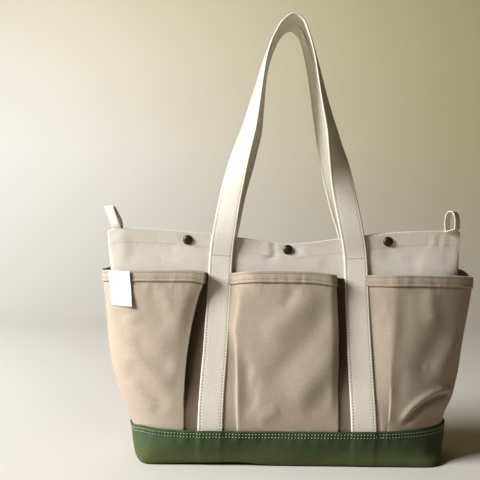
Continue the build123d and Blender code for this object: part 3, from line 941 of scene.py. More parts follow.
def mid_pocket(sy):
    """The middle pocket: its left pleat lies shut, its right one stands open."""
    def fl(z): return hermite(z, [30, 41, 78, 120, 135, 145, 158, 170, 183, 197, 208, 231], [-61.6, -61.6, -62.4, -63.6, -64.4, -65.2, -67.2, -66.0, -63.6, -62.2, -62.8, -64.0])
    def fr_(z): return hermite(z, [30, 42, 80, 137, 186, 217, 231], [60.0, 60.1, 60.8, 62.4, 63.0, 62.4, 61.8])
    def sl(z): return hermite(z, [30, 42, 135, 231], [-78.6, -78.5, -75.8, -71.2])
    def sr(z): return hermite(z, [30, 42, 135, 231], [76.3, 76.2, 74.5, 73.2])
    n_fold, n_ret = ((14, 11))
    n_half = 46
    half = n_half + n_fold + n_ret
    nc = 2 * half - 1
    X = np.zeros((len(ZP), nc)); Y = np.zeros_like(X); S = np.zeros_like(X)
    for i, z in enumerate(ZP):
        a, b = float(fl(z)), float(fr_(z))
        D = float(pocket_depth(z))
        yw = float(wall_depth(z)) + 1.35
        up = float(smooth(z, 196, 228))
        soft = float(smooth(z, 122, 172))
        bul = 2.8 * float(smooth(z, 42, 110))

        def face_y(x):
            t = (x - a) / (b - a)
            y = D + bul * (1 - (2 * t - 1) ** 2)
            # at the mouth the left end swings back to the strap in one curve
            y = y - up * 7.5 * smooth(1 - (x - a) / 22.0) ** 1.3
            # below it the shut pleat makes a rounded ridge with a hollow beside it
            lowr = 0.08 + 0.92 * (1 - smooth(z, 112, 150))
            y = y + (1 - up) * lowr * smooth(z, 42, 80) * (0.9 * np.exp(-((x - a) / 4.0) ** 2) - 1.2 * np.exp(-((x - a - 11) / 6.0) ** 2))
            # the right end rolls back
            y = y - 2.8 * smooth(z, 50, 90) * smooth(1 - (b - x) / 12.0) ** 1.6
            return y
        # left half, from the middle outwards
        fx = np.linspace(0, a, 160)
        fy = face_y(fx)
        step = 1.5 * (1 - up)
        E = (float(sl(z)) + 0.6, yw + 0.1)
        U = (a + 1.4 * (1 - up) + 0.1 - 0.6 * up, fy[-1] - step - 0.15 - 1.2 * up)
        sg = 1.4 + 2.4 * soft + 1.0 * up
        # the strip beside the strap rises off the wall, then levels
        xm, ym = E[0] + (0.86 - 0.3 * soft) * (U[0] - E[0]), E[1] + (0.28 + 0.4 * soft) * (U[1] - E[1])
        lx, ly, ls = pleat_path2(fx, fy, [U, (xm, ym), E, (E[0] - 5.0, yw - 0.05)], sg, n_half, n_fold, n_ret)
        fx = np.linspace(0, b, 160)
        fy = face_y(fx)
        gap = fy[-1] - yw
        o = 3.2 * float(smooth(z, 62, 105))
        U = (b - o - 0.3, fy[-1] - max(1.3, 0.6 * gap)) if gap > 2.6 else (b - 0.35, fy[-1] - 1.25)
        E = (float(sr(z)) - 0.3, yw)
        rx, ry, rs = pleat_path2(fx, fy, [U, E, (E[0] + 5.0, yw - 0.05)], 0.75, n_half, n_fold, n_ret)
        X[i] = np.concatenate([lx[::-1], rx[1:]])
        Y[i] = np.concatenate([ly[::-1], ry[1:]])
        S[i] = np.concatenate([-ls[::-1], rs[1:]])
    xr = np.array([np.interp(229.0, ZP, X[:, c]) for c in range(nc)])
    top = hermite(xr, [-78, -71, -59, -47, -20, 10, 40, 55, 61, 63, 70], [227.4, 228.3, 230.4, 231.8, 232.4, 232.4, 231.1, 228.9, 227.8, 227.0, 226.4])
    k = nc - n_ret - n_fold // 2
    top[k:] = np.interp(np.arange(nc - k), [0, n_fold // 2, nc - k - 1], [top[k], 223.6, 222.4])
    n_low = 62
    f = np.linspace(0, 1, n_low)[:-1]
    zb = 35.0
    Z = [zb + (top - BELOW_D[-1] - zb) * q for q in f]
    for d in BELOW_D[::-1] + HEM_D[::-1]:
        Z.append(top - d)
    Z = np.array(Z)
    PX, PY, U_ = pick(ZP, X, Z), pick(ZP, Y, Z), pick(ZP, S, Z)
    P = np.stack([PX * (-sy), sy * PY, Z], 2)     # the back one is turned about, so columns still run outward
    d_top = top[None, :] - Z
    N = normals(P)
    x, z = PX, Z
    d = 0.7 * vnoise(x / 60.0, z / 54.0, 41 + sy) + 0.14 * vnoise(x / 22.0, z / 26.0, 43 + sy)
    d += fold(x, z, [(58, 200), (36, 164), (10, 134), (-12, 110), (-30, 84)], -2.0, 14.0)
    d += fold(x, z, [(40, 216), (14, 188), (-12, 164), (-34, 146)], 1.9, 14.0)
    d += fold(x, z, [(-48, 128), (-47, 96), (-44, 60)], -1.2, 6.0)
    d += fold(x, z, [(-36, 110), (-40, 90), (-42, 66)], -0.8, 5.0)
    d += fold(x, z, [(60, 144), (42, 116), (20, 92), (2, 70)], 2.2, 14.0)
    d += fold(x, z, [(54, 96), (36, 76), (18, 58)], -0.7, 10.0)
    d += fold(x, z, [(-10, 72), (-26, 60), (-38, 52)], 1.2, 8.0)
    d += fold(x, z, [(8, 218), (4, 202), (-6, 186)], -1.0, 7.0)
    d += 0.34 * np.exp(-((z - 222) / 13.0) ** 2) * (vnoise(x / 4.3, z / 16.0, 8) + 0.8 * vnoise(x / 8.0, z / 22.0, 9))
    d = d * smooth(z, 41, 56)
    face = np.concatenate([np.zeros(n_ret), np.linspace(0.0, 1, n_fold), np.ones(2 * n_half - 1), np.linspace(1, 0.0, n_fold), np.zeros(n_ret)])[None, :]
    P, thick = hem_relief(P, N, d_top, d * face)
    mesh = Mesh()
    # painted shade in both pleats: the shut left one lightly, the open right one darkest where it turns under, all
    # weaker low down
    painted_shade_weight = np.concatenate([np.linspace(0.45, 0.3, n_ret), np.linspace(0.3, 0, n_fold), np.zeros(2 * n_half - 5), np.linspace(0, 0.15, 4),
                           np.linspace(0.2, 1.0, n_fold), np.linspace(1.0, 0.75, n_ret)])[None, :] * (0.5 + 0.5 * smooth(Z, 70, 130))
    out, inn = cloth(mesh, P, thick, np.stack([U_, Z], 2), 0, mat_in=1, painted_shade=painted_shade_weight)
    base = Z.shape[0] - len(HEM_D)
    sewn_hem(mesh, out, inn, base)
    ob = mesh.build(f"pocket_{'front' if sy < 0 else 'back'}_middle_cloth", [TAUPE, TAUPE_IN, TH_TAUPE])
    return ob


def pleat_path2(fx, fy, tail, sigma, n_face, n_fold, n_ret):
    """As pleat_path, with the face evenly spaced and any number of tail points."""
    px = np.concatenate([fx, [p[0] for p in tail]])
    py = np.concatenate([fy, [p[1] for p in tail]])
    s = np.concatenate([[0], np.cumsum(np.hypot(np.diff(px), np.diff(py)))])
    sK, sU, sE = s[len(fx) - 1], s[len(fx)], s[-1]
    n = int(s[-1] / 0.25) + 2
    t = np.linspace(0, s[-1], n)
    ds = t[1] - t[0]
    x, y = np.interp(t, s, px), np.interp(t, s, py)
    h = int(3 * sigma / ds) + 1
    k = np.exp(-0.5 * (np.arange(-h, h + 1) * ds / sigma) ** 2)
    k /= k.sum()

    def sm(a):
        return np.convolve(np.concatenate([2 * a[0] - a[h:0:-1], a, 2 * a[-1] - a[-2:-h - 2:-1]]), k, mode="valid")
    w = smooth(t, sK - 40 - 4 * sigma, sK - 25 - 3 * sigma)
    x, y = x * (1 - w) + sm(x) * w, y * (1 - w) + sm(y) * w
    w = 1.0 + 1.25 * sigma
    a, b = sK - w, min(sU + w, sE - 3.0)
    cols = np.concatenate([np.linspace(0, a, n_face), a + (b - a) * np.linspace(0, 1, n_fold + 1)[1:], b + (sE - b) * np.linspace(0, 1, n_ret + 1)[1:]])
    X, Y = np.interp(cols, t, x), np.interp(cols, t, y)
    return X, Y, np.concatenate([[0], np.cumsum(np.hypot(np.diff(X), np.diff(Y)))])


for sy in (-1, 1):
    side = "front" if sy < 0 else "back"
    ob = mid_pocket(sy)
    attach(ob, f"{side}_wall")
    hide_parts(f"pocket_{side}_middle")


# =========================================================================
# green boot and the bottom cloth
# =========================================================================
BOOT_TOP = 42.2


def ring_xy(left, right, d, n_side):
    """A closed plan outline, anticlockwise from the right tip seen from above.
    left and right are (half-length, exponent, roundness) for each end."""
    out = []
    for (w, p, q), sxx in ((right, 1), (left, -1)):
        x, y = plan(w, d, p, 500, q)
        out.append((sxx * x, y))
    # right tip -> back -> left tip -> front
    bx = np.concatenate([out[0][0], out[1][0][::-1][1:]])
    by = np.concatenate([out[0][1], out[1][1][::-1][1:]])
    s = np.concatenate([[0], np.cumsum(np.hypot(np.diff(bx), np.diff(by)))])
    f = np.linspace(0, s[-1], n_side + 1)
    hx, hy = np.interp(f, s, bx), np.interp(f, s, by)
    x = np.concatenate([hx[:-1], hx[::-1][:-1]])
    y = np.concatenate([hy[:-1], -hy[::-1][:-1]])
    return x, y


def boot_lift(x):
    """How far the underside stands off the floor along x."""
    return hermite(x, [-180, -162, -145, -110, -80, -58, -46, -35, -20, 20, 60, 100, 140, 160, 180], [0, 0.1, 0.9, 2.1, 2.7, 2.9, 2.2, 1.0, 0.3, 0.15, 0.3, 0.35, 0.2, 0.0, 0])


def boot():
    n_side = 300
    rows = []
    for z in (42.2, 40.5, 39.1, 37.6, 35.4, 34.0, 30.6, 27, 23, 18.5, 14, 10, 6.6, 4.0, 2.2, 1.1, 0.45, 0.12, 0.05):
        wl = float(hermite(z, [0, 0.5, 1.1, 2.2, 5, 12.6, 20, 28, 35, 42.2], [180.0, 182.6, 183.8, 185.2, 188.4, 192.8, 196.2, 198.6, 200.6, 201.7]))
        wr = float(hermite(z, [0, 0.5, 1.1, 2.2, 5, 12.6, 20, 28, 35, 42.2], [180.0, 184.0, 186.0, 188.2, 192.4, 198.4, 202.2, 204.4, 205.6, 206.0]))
        pl = float(hermite(z, [0, 3, 10, 20, 30, 42], [36, 28, 18, 11, 8, 7]))
        pr = float(hermite(z, [0, 3, 10, 20, 30, 42], [34, 22, 10, 5.8, 4.5, 4.0]))
        ql = float(hermite(z, [0, 3, 10, 20, 30, 42], [0.24, 0.27, 0.36, 0.48, 0.58, 0.63]))
        qr = float(hermite(z, [0, 3, 10, 20, 30, 42], [0.24, 0.28, 0.40, 0.48, 0.51, 0.52]))
        d = float(hermite(z, [0, 0.5, 1.1, 2.2, 5, 12, 25, 42.2], [53.0, 58.0, 59.4, 60.2, 60.9, 61.5, 62.4, 63.2]))
        x, y = ring_xy((wl, pl, ql), (wr, pr, qr), d, n_side)
        rows.append(np.stack([x, y, np.full_like(x, z)], 1))
    inner_scale = [0.93, 0.85, 0.74, 0.62, 0.48, 0.34, 0.2, 0.1]
    x0, y0 = ring_xy((173.0, 36, 0.24), (173.5, 36, 0.24), 53.0, n_side)
    for k in inner_scale:
        rows.append(np.stack([x0 * (0.28 + 0.72 * k), y0 * k, np.full_like(x0, 0.05)], 1))
    P = np.array(rows)
    x, y, z = P[..., 0].copy(), P[..., 1].copy(), P[..., 2].copy()
    # outward normal of each ring (plan direction) for small displacements
    dn = np.roll(P, -1, 1) - np.roll(P, 1, 1)
    out = np.stack([dn[..., 1], -dn[..., 0], np.zeros_like(x)], 2)
    out /= np.maximum(np.linalg.norm(out, axis=2, keepdims=True), 1e-9)
    side = smooth(z, 3, 14)
    front = np.abs(y) > 50
    d = np.zeros_like(x)
    # straps run down inside: flat ridges, crisp at the top
    for x0, x1 in ((-109.2, -79.2), (76.6, 105.2)):
        soft = 1.3 + 0.11 * (42 - z)
        ridge = smooth((x - x0) / soft, -1, 1) * smooth((x1 - x) / soft, -1, 1)
        d += 1.35 * ridge * front * (0.35 + 0.65 * smooth(z, 8, 36))
    # pocket folds behind make slight swells
    for cx, a, w in ((-124, 0.5, 5), (-58, 0.7, 5), (60, 0.6, 5), (120, 0.6, 6)):
        d += a * np.exp(-((x - cx) / w) ** 2) * front * smooth(z, 18, 38)
    d += (0.8 * vnoise(x / 38.0, z / 22.0 + y * 0.001, 61) + 0.3 * vnoise(x / 15.0 + 9, z / 12.0, 62)) * side
    # soft dents near the lower corners and a gentle hollow along the face
    d += -0.9 * np.exp(-((z - 16) / 9) ** 2) * smooth(np.abs(x), 20, 60) * smooth(-np.abs(x), -172, -140) * front
    # small puckers under the stitching
    d += 0.22 * np.sin(x / 2.6 + 2.2 * vnoise(x / 18.0, z * 0, 63)) * np.exp(-((z - 33) / 7.0) ** 2)
    d += 0.6 * fold(x, z, [(-190, 36), (-180, 22), (-170, 10)], -1.2, 6.0) + 0.6 * fold(x, z, [(188, 34), (178, 20), (168, 8)], -1.3, 6.0)
    # the folded hem along the top stands proud and each stitch row pulls it in
    lip = smooth(z, 33.7, 34.6)
    d += 0.3 * lip
    for zz in (39.1, 35.4):
        d -= 0.2 * np.exp(-((z - zz) / 0.8) ** 2)
    P = P + out * d[..., None]
    # top edge wavers slightly
    wav = 0.45 * vnoise(x / 44.0, y / 60.0, 65) + 0.2 * vnoise(x / 13.0, y / 20.0, 66)
    P[..., 2] += wav * smooth(z, 20, 42) - 6.0 * smooth(-x, 176, 202) * smooth(z, 14, 42)
    # underside: on the floor at the corners, a little off it between
    lift = boot_lift(x)
    P[..., 2] += lift * smooth(-z, -16, -2)
    N = np.cross(np.roll(P, -1, 1) - np.roll(P, 1, 1), np.gradient(P, axis=0))
    N = N / np.maximum(np.linalg.norm(N, axis=2, keepdims=True), 1e-9)
    if (N[6] * out[6]).sum(1).mean() < 0:
        N = -N
    th = 1.5
    O, I = P, P - N * th
    # rounded folded top edge
    crest = (O[0] + I[0]) / 2
    crest[:, 2] += 0.75
    oc = O[0].copy(); oc[:, 2] += 0.42; oc -= N[0] * 0.18
    ic = I[0].copy(); ic[:, 2] += 0.42; ic += N[0] * 0.18
    loop = [r for r in O[::-1]] + [oc, crest, ic] + [r for r in I]
    V = np.array(loop)
    nr, nc = V.shape[:2]
    # arc length round the ring and down the profile, for the weave
    ringlen = np.concatenate([[0], np.cumsum(np.linalg.norm(np.diff(P[0], axis=0), axis=1))])
    vert = np.concatenate([[0], np.cumsum(np.linalg.norm(np.diff(V, axis=0), axis=2).mean(1))])
    U = np.broadcast_to(ringlen[None, :], (nr, nc)).copy()
    Vv = np.broadcast_to(vert[:, None], (nr, nc)).copy()
    # a copy of the ring with its first column repeated, and uvs running on past the end, is made here but not used
    # below: the mesh closes the ring on itself
    mesh = Mesh()
    V2 = np.concatenate([V, V[:, :1]], 1)
    U2 = np.concatenate([U, U[:, :1] + ringlen[-1] + np.linalg.norm(P[0, 0] - P[0, -1])], 1)
    Vv2 = np.concatenate([Vv, Vv[:, :1]], 1)
    uvs = np.stack([U2, Vv2], 2)
    idx = np.arange(nr * nc).reshape(nr, nc)
    verts = V.reshape(-1, 3)
    faces = []
    for r in range(nr - 1):
        for c in range(nc):
            c2 = (c + 1) % nc
            faces.append((idx[r, c], idx[r, c2], idx[r + 1, c2], idx[r + 1, c]))
    # the small openings at both ends of the profile are closed
    faces = [tuple(q[::-1]) for q in faces] if False else faces
    cap0 = tuple(int(i) for i in idx[0][::-1])
    cap1 = tuple(int(i) for i in idx[-1])
    # painted shade: the two rows under the stitching take three quarters of the green's dark shade colour, as shade in
    # their grooves
    groove = np.zeros((nr, nc))
    for r in (2, 4):
        groove[len(O) - 1 - r] = 0.75
    mesh.add(verts, faces + [cap0, cap1], np.stack([U, Vv], 2).reshape(-1, 2), 0, groove)
    # two stitch rows round the top edge
    for r in (2, 4):
        ring = np.concatenate([O[r], O[r][:1]])
        nn = np.concatenate([N[r], N[r][:1]])
        stitches(mesh, ring, nn, pitch=3.95, length=2.1, width=1.1, height=0.55, mat=1, sink=0.0)
    ob = mesh.build("boot_shell", [GREEN, TH_GREEN])
    bpy.context.view_layer.objects.active = ob
    import bmesh
    bm = bmesh.new()
    bm.from_mesh(ob.data)
    bmesh.ops.recalc_face_normals(bm, faces=bm.faces)
    bm.to_mesh(ob.data)
    bm.free()
    return ob


BOOT = boot()
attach(BOOT, "bag_body")
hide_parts("base_boot")


def bottom_cloth():
    """The cream cloth over the stiffened bottom, turned up a little all round."""
    n_side = 150
    rows = []
    for s, z in ((1.0, 12.0), (0.998, 7.5), (0.99, 4.8), (0.975, 3.6), (0.95, 3.2), (0.88, 3.0), (0.76, 2.9), (0.6, 2.85), (0.42, 2.8), (0.22, 2.8)):
        x, y = ring_xy((180.5, 14, 0.4), (181.5, 13, 0.4), 56.2, n_side)
        k = 1 - (1 - s) * 0.55
        rows.append(np.stack([x * (k if s > 0.9 else k * (0.35 + 0.65 * s) / 0.96), y * s, np.full_like(x, z)], 1))
    P = np.array(rows)
    x, y, z = P[..., 0], P[..., 1], P[..., 2]
    P[..., 2] = z + 0.5 * vnoise(x / 46.0, y / 31.0, 71) + 0.25 * vnoise(x / 17.0, y / 14.0, 72) + 0.35 \
        + boot_lift(x) * 0.9
    th = 1.1
    N = np.zeros_like(P); N[..., 2] = 1.0
    dn = np.roll(P, -1, 1) - np.roll(P, 1, 1)
    inw = -np.stack([dn[..., 1], -dn[..., 0], np.zeros_like(x)], 2)
    inw /= np.maximum(np.linalg.norm(inw, axis=2, keepdims=True), 1e-9)
    w = smooth(z, 3.2, 7.0)[..., None]
    N = N * (1 - w) + inw * w
    N /= np.linalg.norm(N, axis=2, keepdims=True)
    A, B = P + N * th, P
    edge = (A[0] + B[0]) / 2
    edge[:, 2] += 0.5
    V = np.array([r for r in A[::-1]] + [edge] + [r for r in B])
    nr, nc = V.shape[:2]
    idx = np.arange(nr * nc).reshape(nr, nc)
    faces = []
    for r in range(nr - 1):
        for c in range(nc):
            c2 = (c + 1) % nc
            faces.append((idx[r, c], idx[r, c2], idx[r + 1, c2], idx[r + 1, c]))
    mesh = Mesh()
    mesh.add(V.reshape(-1, 3), faces + [tuple(int(i) for i in idx[0][::-1]), tuple(int(i) for i in idx[-1])],
             V.reshape(-1, 3)[:, :2], 0)
    ob = mesh.build("bottom_cloth", [CREAM_IN])
    import bmesh
    bm = bmesh.new()
    bm.from_mesh(ob.data)
    bmesh.ops.recalc_face_normals(bm, faces=bm.faces)
    bm.to_mesh(ob.data)
    bm.free()
    return ob


BOTTOM = bottom_cloth()
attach(BOTTOM, "bag_body")
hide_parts("body_bottom")


# =========================================================================
# straps running up the walls and over as handles
# =========================================================================
TAPE_W, TAPE_T = 30.0, 2.3


def ribbon(mesh, C, W, width, thick, u0=0.0, rows_w=14, mat=0, edge=0.45, cup=None):
    """A woven band along centres C, with across-directions W. cup bends it
    slightly across its width."""
    n = len(C)
    T = np.gradient(C, axis=0)
    T /= np.linalg.norm(T, axis=1, keepdims=True)
    W = W - (W * T).sum(1, keepdims=True) * T
    W /= np.linalg.norm(W, axis=1, keepdims=True)
    O = np.cross(W, T)                      # outward face direction
    if rows_w >= 12:
        e = np.array([1.0, 0.978, 0.945, 0.90, 0.855, 0.80, 0.745, 0.62, 0.42, 0.2])
        k = np.array([0.42, 0.86, 1.04, 1.06, 1.0, 0.86, 1.0, 1.02, 1.0, 1.0])
    else:
        e = np.array([1.0, 0.94, 0.84, 0.72, 0.60, 0.35])
        k = np.array([0.5, 1.05, 1.1, 0.92, 1.0, 1.0])
    q = np.concatenate([-e, [0.0], e[::-1]])
    prof = np.concatenate([k, [1.0], k[::-1]])
    selv = 1.0
    cupv = np.zeros(n) if cup is None else cup
    face = C[:, None, :] + W[:, None, :] * (q * width / 2)[None, :, None] - O[:, None, :] * (cupv[:, None] * (q ** 2)[None, :])[..., None]
    outer = face + O[:, None, :] * (thick / 2 * prof * selv)[None, :, None]
    inner = face - O[:, None, :] * (thick / 2 * prof * selv)[None, :, None]
    # side points make the edge round
    eL = (outer[:, 0] + inner[:, 0]) / 2 - W * 0.32
    eR = (outer[:, -1] + inner[:, -1]) / 2 + W * 0.32
    ring = np.concatenate([outer, eR[:, None], inner[:, ::-1], eL[:, None]], 1)
    s = np.concatenate([[0], np.cumsum(np.linalg.norm(np.diff(C, axis=0), axis=1))]) + u0
    m = ring.shape[1]
    uo = q * width / 2
    u = np.concatenate([uo, [width / 2 + 0.6], width + 1.5 - uo[::-1] + 0, [1.5 * width + 2.5]])
    uv = np.stack([np.broadcast_to(u[None, :], (n, m)), np.broadcast_to(s[:, None], (n, m))], 2)
    idx = np.arange(n * m).reshape(n, m)
    r = np.arange(n - 1)
    faces = []
    for c in range(m):
        c2 = (c + 1) % m
        for k in r:
            faces.append((idx[k, c], idx[k, c2], idx[k + 1, c2], idx[k + 1, c]))
    faces.append(tuple(int(i) for i in idx[0][::-1]))
    faces.append(tuple(int(i) for i in idx[-1]))
    mesh.add(ring.reshape(-1, 3), faces, uv.reshape(-1, 2), mat)
    return outer, inner, O, q, s


def cubic(ts, vs, t):
    """Monotone-free smooth interpolation of several components."""
    vs = np.asarray(vs, float)
    return np.stack([hermite(t, ts, vs[:, i]) for i in range(vs.shape[1])], 1)


def handle(sy):
    """One long strap: up the wall, over as a handle, and down again."""
    def wy(z): return -(float(wall_depth(z)) + 1.35 + TAPE_T / 2 + 0.25)
    inn = 0.0 if sy < 0 else 1.0             # the far handle's legs stand closer together
    # (x, y, z, turn in degrees): front handle; the far one is mirrored in y
    left = [(-93.9, wy(36), 36, 0), (-93.7, wy(60), 60, 0), (-92.2, wy(95), 95, 0), (-89.6, wy(135), 135, 0), (-87.6, wy(180), 180, 0), (-85.6, wy(225), 225, 0),
            (-84.9, wy(243), 243, 0), (-84.2 + 0.5 * inn, wy(254) - 0.1, 254, 1), (-82.6 + 1.2 * inn, -6.9, 270, 4), (-79.6 + 2.4 * inn, -7.2, 290, 9), (-76.4 + 4 * inn, -7.4, 310, 14),
            (-71.4 + 5 * inn, -7.8, 337, 19), (-64.6 + 6 * inn, -8.4, 366, 29), (-57.2 + 6 * inn, -9.2, 392, 40), (-49.6 + 6 * inn, -10.2, 418, 51),
            (-42.4 + 4.5 * inn, -11.6, 450, 64), (-35.2 + 2.5 * inn, -13.0, 482, 76), (-27.4 + 1.5 * inn, -14.4, 512, 84), (-18.5 + 1 * inn, -15.4, 535, 88), (-7.5, -15.9, 552, 90)]
    right = [(91.1, wy(36), 36, 0), (90.9, wy(60), 60, 0), (90.3, wy(95), 95, 0), (89.6, wy(135), 135, 0), (89.2, wy(180), 180, 0), (89.5, wy(225), 225, 0),
             (89.7, wy(243), 243, 0), (89.2 - 0.5 * inn, wy(254) - 0.1, 254, 1), (87.2 - 1.2 * inn, -6.9, 270, 1), (83.6 - 2.4 * inn, -7.2, 290, -1), (79.4 - 4 * inn, -7.4, 310, -1),
             (73.9 - 5 * inn, -7.8, 337, 6), (68.0 - 7 * inn, -8.4, 366, 22), (62.4 - 8 * inn, -9.2, 392, 42), (57.6 - 8.5 * inn, -10.2, 418, 56),
             (50.2 - 7 * inn, -11.6, 450, 65), (42.6 - 5 * inn, -13.0, 482, 72), (34.0 - 3.5 * inn, -14.4, 514, 80), (25.0 - 2 * inn, -15.4, 538, 86), (16.5 - 1 * inn, -15.9, 553, 89)]
    top = [(4.5, -16.0, 559.4, 90)]
    pts = left + top + right[::-1]
    pts = np.array(pts, float)
    L = np.concatenate([[0], np.cumsum(np.linalg.norm(np.diff(pts[:, :3], axis=0), axis=1))])
    n = 430
    t = np.linspace(0, L[-1], n)
    D = cubic(L, pts, t)
    C, phi = D[:, :3].copy(), np.radians(D[:, 3])
    # the webbing isn't quite even
    z = C[:, 2]
    free = smooth(z, 258, 300)
    C[:, 0] += free * 0.9 * vnoise(t / 61.0, t * 0, 81 + sy)
    C[:, 1] += -0.35 * vnoise(t / 33.0, t * 0, 83 + sy) * (1 - free) * 0.4 - free * 0.5 * vnoise(t / 47.0, t * 0, 84)
    T = np.gradient(C, axis=0)
    T /= np.linalg.norm(T, axis=1, keepdims=True)
    b0 = np.stack([T[:, 2], np.zeros(n), -T[:, 0]], 1)
    b0 /= np.linalg.norm(b0, axis=1, keepdims=True)
    # b0 points to +X on the way up and to -X on the way down: always the inner edge
    fy = np.stack([np.zeros(n), -np.ones(n), np.zeros(n)], 1)
    W = b0 * np.cos(phi)[:, None] + fy * np.sin(phi)[:, None]
    return C, W, t, phi


def build_handle(sy):
    C, W, t, phi = handle(sy)
    n = len(C)
    mesh = Mesh()
    cup = 0.9 * smooth(C[:, 2], 275, 330) * (0.7 + 0.3 * vnoise(t / 40.0, t * 0, 88))
    if sy > 0:
        C = C * np.array([1, -1, 1]); W = W * np.array([1, -1, 1])
        # mirrored: reverse the run so the outer face still looks out
        C, W, t, cup = C[::-1], W[::-1], t[::-1], cup[::-1]
    outer, inner, O, q, s = ribbon(mesh, C, W, TAPE_W, TAPE_T, cup=cup)
    # two rows of stitching, 3 mm inside each edge, on both faces
    for sgn in (-1, 1):
        xq = sgn * (1 - 2 * 3.0 / TAPE_W)
        k = int(np.argmin(np.abs(q - xq)))
        stitches(mesh, outer[1:-1, k], O[1:-1], pitch=3.7, length=1.8, width=0.95, height=0.36, mat=1, sink=-0.03)
        stitches(mesh, inner[1:-1, k], -O[1:-1], pitch=2.8, length=2.1, width=0.6, height=0.36, mat=1)
    # the cross row where the strap leaves the wall
    for zc, part in ((250.6, 0), (249.0, 1)):
        half = np.arange(n) < n // 2 if (part == 0) == (sy < 0) else np.arange(n) >= n // 2
        zz = np.where(half, C[:, 2], 1e9)
        j = int(np.argmin(np.abs(zz - zc)))
        lo, hi = int(np.argmin(np.abs(q + 0.78))), int(np.argmin(np.abs(q - 0.78)))
        stitches(mesh, outer[j, lo:hi + 1], np.repeat(O[j:j + 1], hi - lo + 1, 0), pitch=3.4, length=1.8, width=0.95, height=0.42, mat=1, sink=-0.03)
    name = "strap_handle_front" if sy < 0 else "strap_handle_back"
    ob = mesh.build(name, [WEB, TH_STRAP])
    length = float(s[-1])
    return ob, length, O


HANDLES = []
for sy in (-1, 1):
    ob, length, O = build_handle(sy)
    side = "front" if sy < 0 else "back"
    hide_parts(f"strap_{side}_left", f"strap_{side}_right", f"handle_{side}")
    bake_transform(ob)
    HANDLES.append(ob)
    print("HANDLE", side, round(length, 1), "outward y at foot", round(float(O[5, 1]), 2), round(float(O[-6, 1]), 2))


# =========================================================================
# small loops at the ends
# =========================================================================
def loop(sx):
    if sx < 0:
        cx, e1, wd = -221.5, np.array([0.35, 0.94, 0]), np.array([0.94, -0.35, 0])
        path = [(-1.4, 268), (-0.9, 276), (-1.2, 283.5), (-3.4, 289), (-4.3, 298), (-3.6, 306), (-2.2, 312.2), (-0.2, 314.9), (1.8, 313.2), (3.2, 307), (4.4, 299), (3.6, 290), (1.2, 283.5), (0.9, 276), (0.9, 268)]
        lean = lambda z: -9.0 * smooth(z, 284, 330) * 1.6
    else:
        cx, e1, wd = 211.0, np.array([-0.68, 0.73, 0]), np.array([0.73, 0.68, 0])
        path = [(-0.85, 271), (-0.85, 277), (-1.1, 282.2), (-3.6, 285.2), (-6.3, 288.6), (-6.9, 293.5), (-6.9, 300), (-5.4, 307.3), (-2.6, 310.9), (0.2, 311.8), (3.0, 310.7), (5.6, 307), (6.9, 300), (6.9, 293.5), (6.3, 288.6), (3.6, 285.2), (1.1, 282.2), (0.85, 277), (0.85, 271)]
        lean = lambda z: 6.0 * smooth(z, 281, 288)
    path = np.array(path, float)
    L = np.concatenate([[0], np.cumsum(np.hypot(np.diff(path[:, 0]), np.diff(path[:, 1])))])
    n = 110
    t = np.linspace(0, L[-1], n)
    D = cubic(L, path, t)
    C = np.zeros((n, 3))
    C[:, 0] = cx + e1[0] * D[:, 0] + lean(D[:, 1])
    C[:, 1] = e1[1] * D[:, 0]
    C[:, 2] = D[:, 1]
    turn = smooth(D[:, 1], 281.5, 294 if sx < 0 else 288.5)[:, None]
    flat = np.array([1.0, -0.02 if sx < 0 else 0.02, 0])
    side = np.array([0.0, 1.0, 0])
    W = flat[None, :] * (1 - turn) + wd[None, :] * turn
    W /= np.linalg.norm(W, axis=1, keepdims=True)
    E1 = side[None, :] * (1 - turn) + e1[None, :] * turn
    E1 /= np.linalg.norm(E1, axis=1, keepdims=True)
    C[:, 0] = cx + E1[:, 0] * D[:, 0] + lean(D[:, 1])
    C[:, 1] = E1[:, 1] * D[:, 0]
    mesh = Mesh()
    outer, inner, O, q, s = ribbon(mesh, C, W, 12.5, 1.5, rows_w=9)
    out_sign = 1.0
    for sgn in (-1, 1):
        k = int(np.argmin(np.abs(q - sgn * 0.72)))
        stitches(mesh, outer[1:-1, k], O[1:-1], pitch=2.4, length=1.75, width=0.45, height=0.26, mat=1)
        stitches(mesh, inner[1:-1, k], -O[1:-1], pitch=2.4, length=1.75, width=0.45, height=0.26, mat=1)
    ob = mesh.build("loop_tape_left" if sx < 0 else "loop_tape_right", [WEB, TH_STRAP])
    return ob, float(s[-1])


for sx in (-1, 1):
    ob, length = loop(sx)
    hand = "left" if sx < 0 else "right"
    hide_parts(f"loop_{hand}")
    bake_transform(ob)


# =========================================================================
# snaps: domed caps outside the front wall, rings outside the back wall
# =========================================================================
def revolve(mesh, prof, centre, normal, seg=48, mat=0):
    """A turned piece: prof is (radius, height) pairs from its rim to its top."""
    nrm = np.asarray(normal, float)
    nrm /= np.linalg.norm(nrm)
    up = np.array([0, 0, 1.0])
    a = np.cross(up, nrm); a /= np.linalg.norm(a)
    b = np.cross(nrm, a)
    ang = np.linspace(0, 2 * math.pi, seg, endpoint=False)
    verts, faces = [], []
    rings = []
    for r, h in prof:
        if r < 1e-6:
            rings.append([len(verts)])
            verts.append(centre + nrm * h)
        else:
            ids = []
            for w in ang:
                ids.append(len(verts))
                verts.append(centre + nrm * h + a * (r * math.cos(w)) + b * (r * math.sin(w)))
            rings.append(ids)
    for p, q in zip(rings[:-1], rings[1:]):
        if len(p) == 1 and len(q) == 1:
            continue
        for k in range(seg):
            k2 = (k + 1) % seg
            if len(p) == 1:
                faces.append((p[0], q[k2], q[k]))
            elif len(q) == 1:
                faces.append((p[k], p[k2], q[0]))
            else:
                faces.append((p[k], p[k2], q[k2], q[k]))
    v = np.array(verts)
    mesh.add(v, faces, np.stack([v[:, 0], v[:, 2]], 1), mat)


SNAPS = [(-128.6, 271.6), (2.0, 259.8), (132.4, 271.6)]


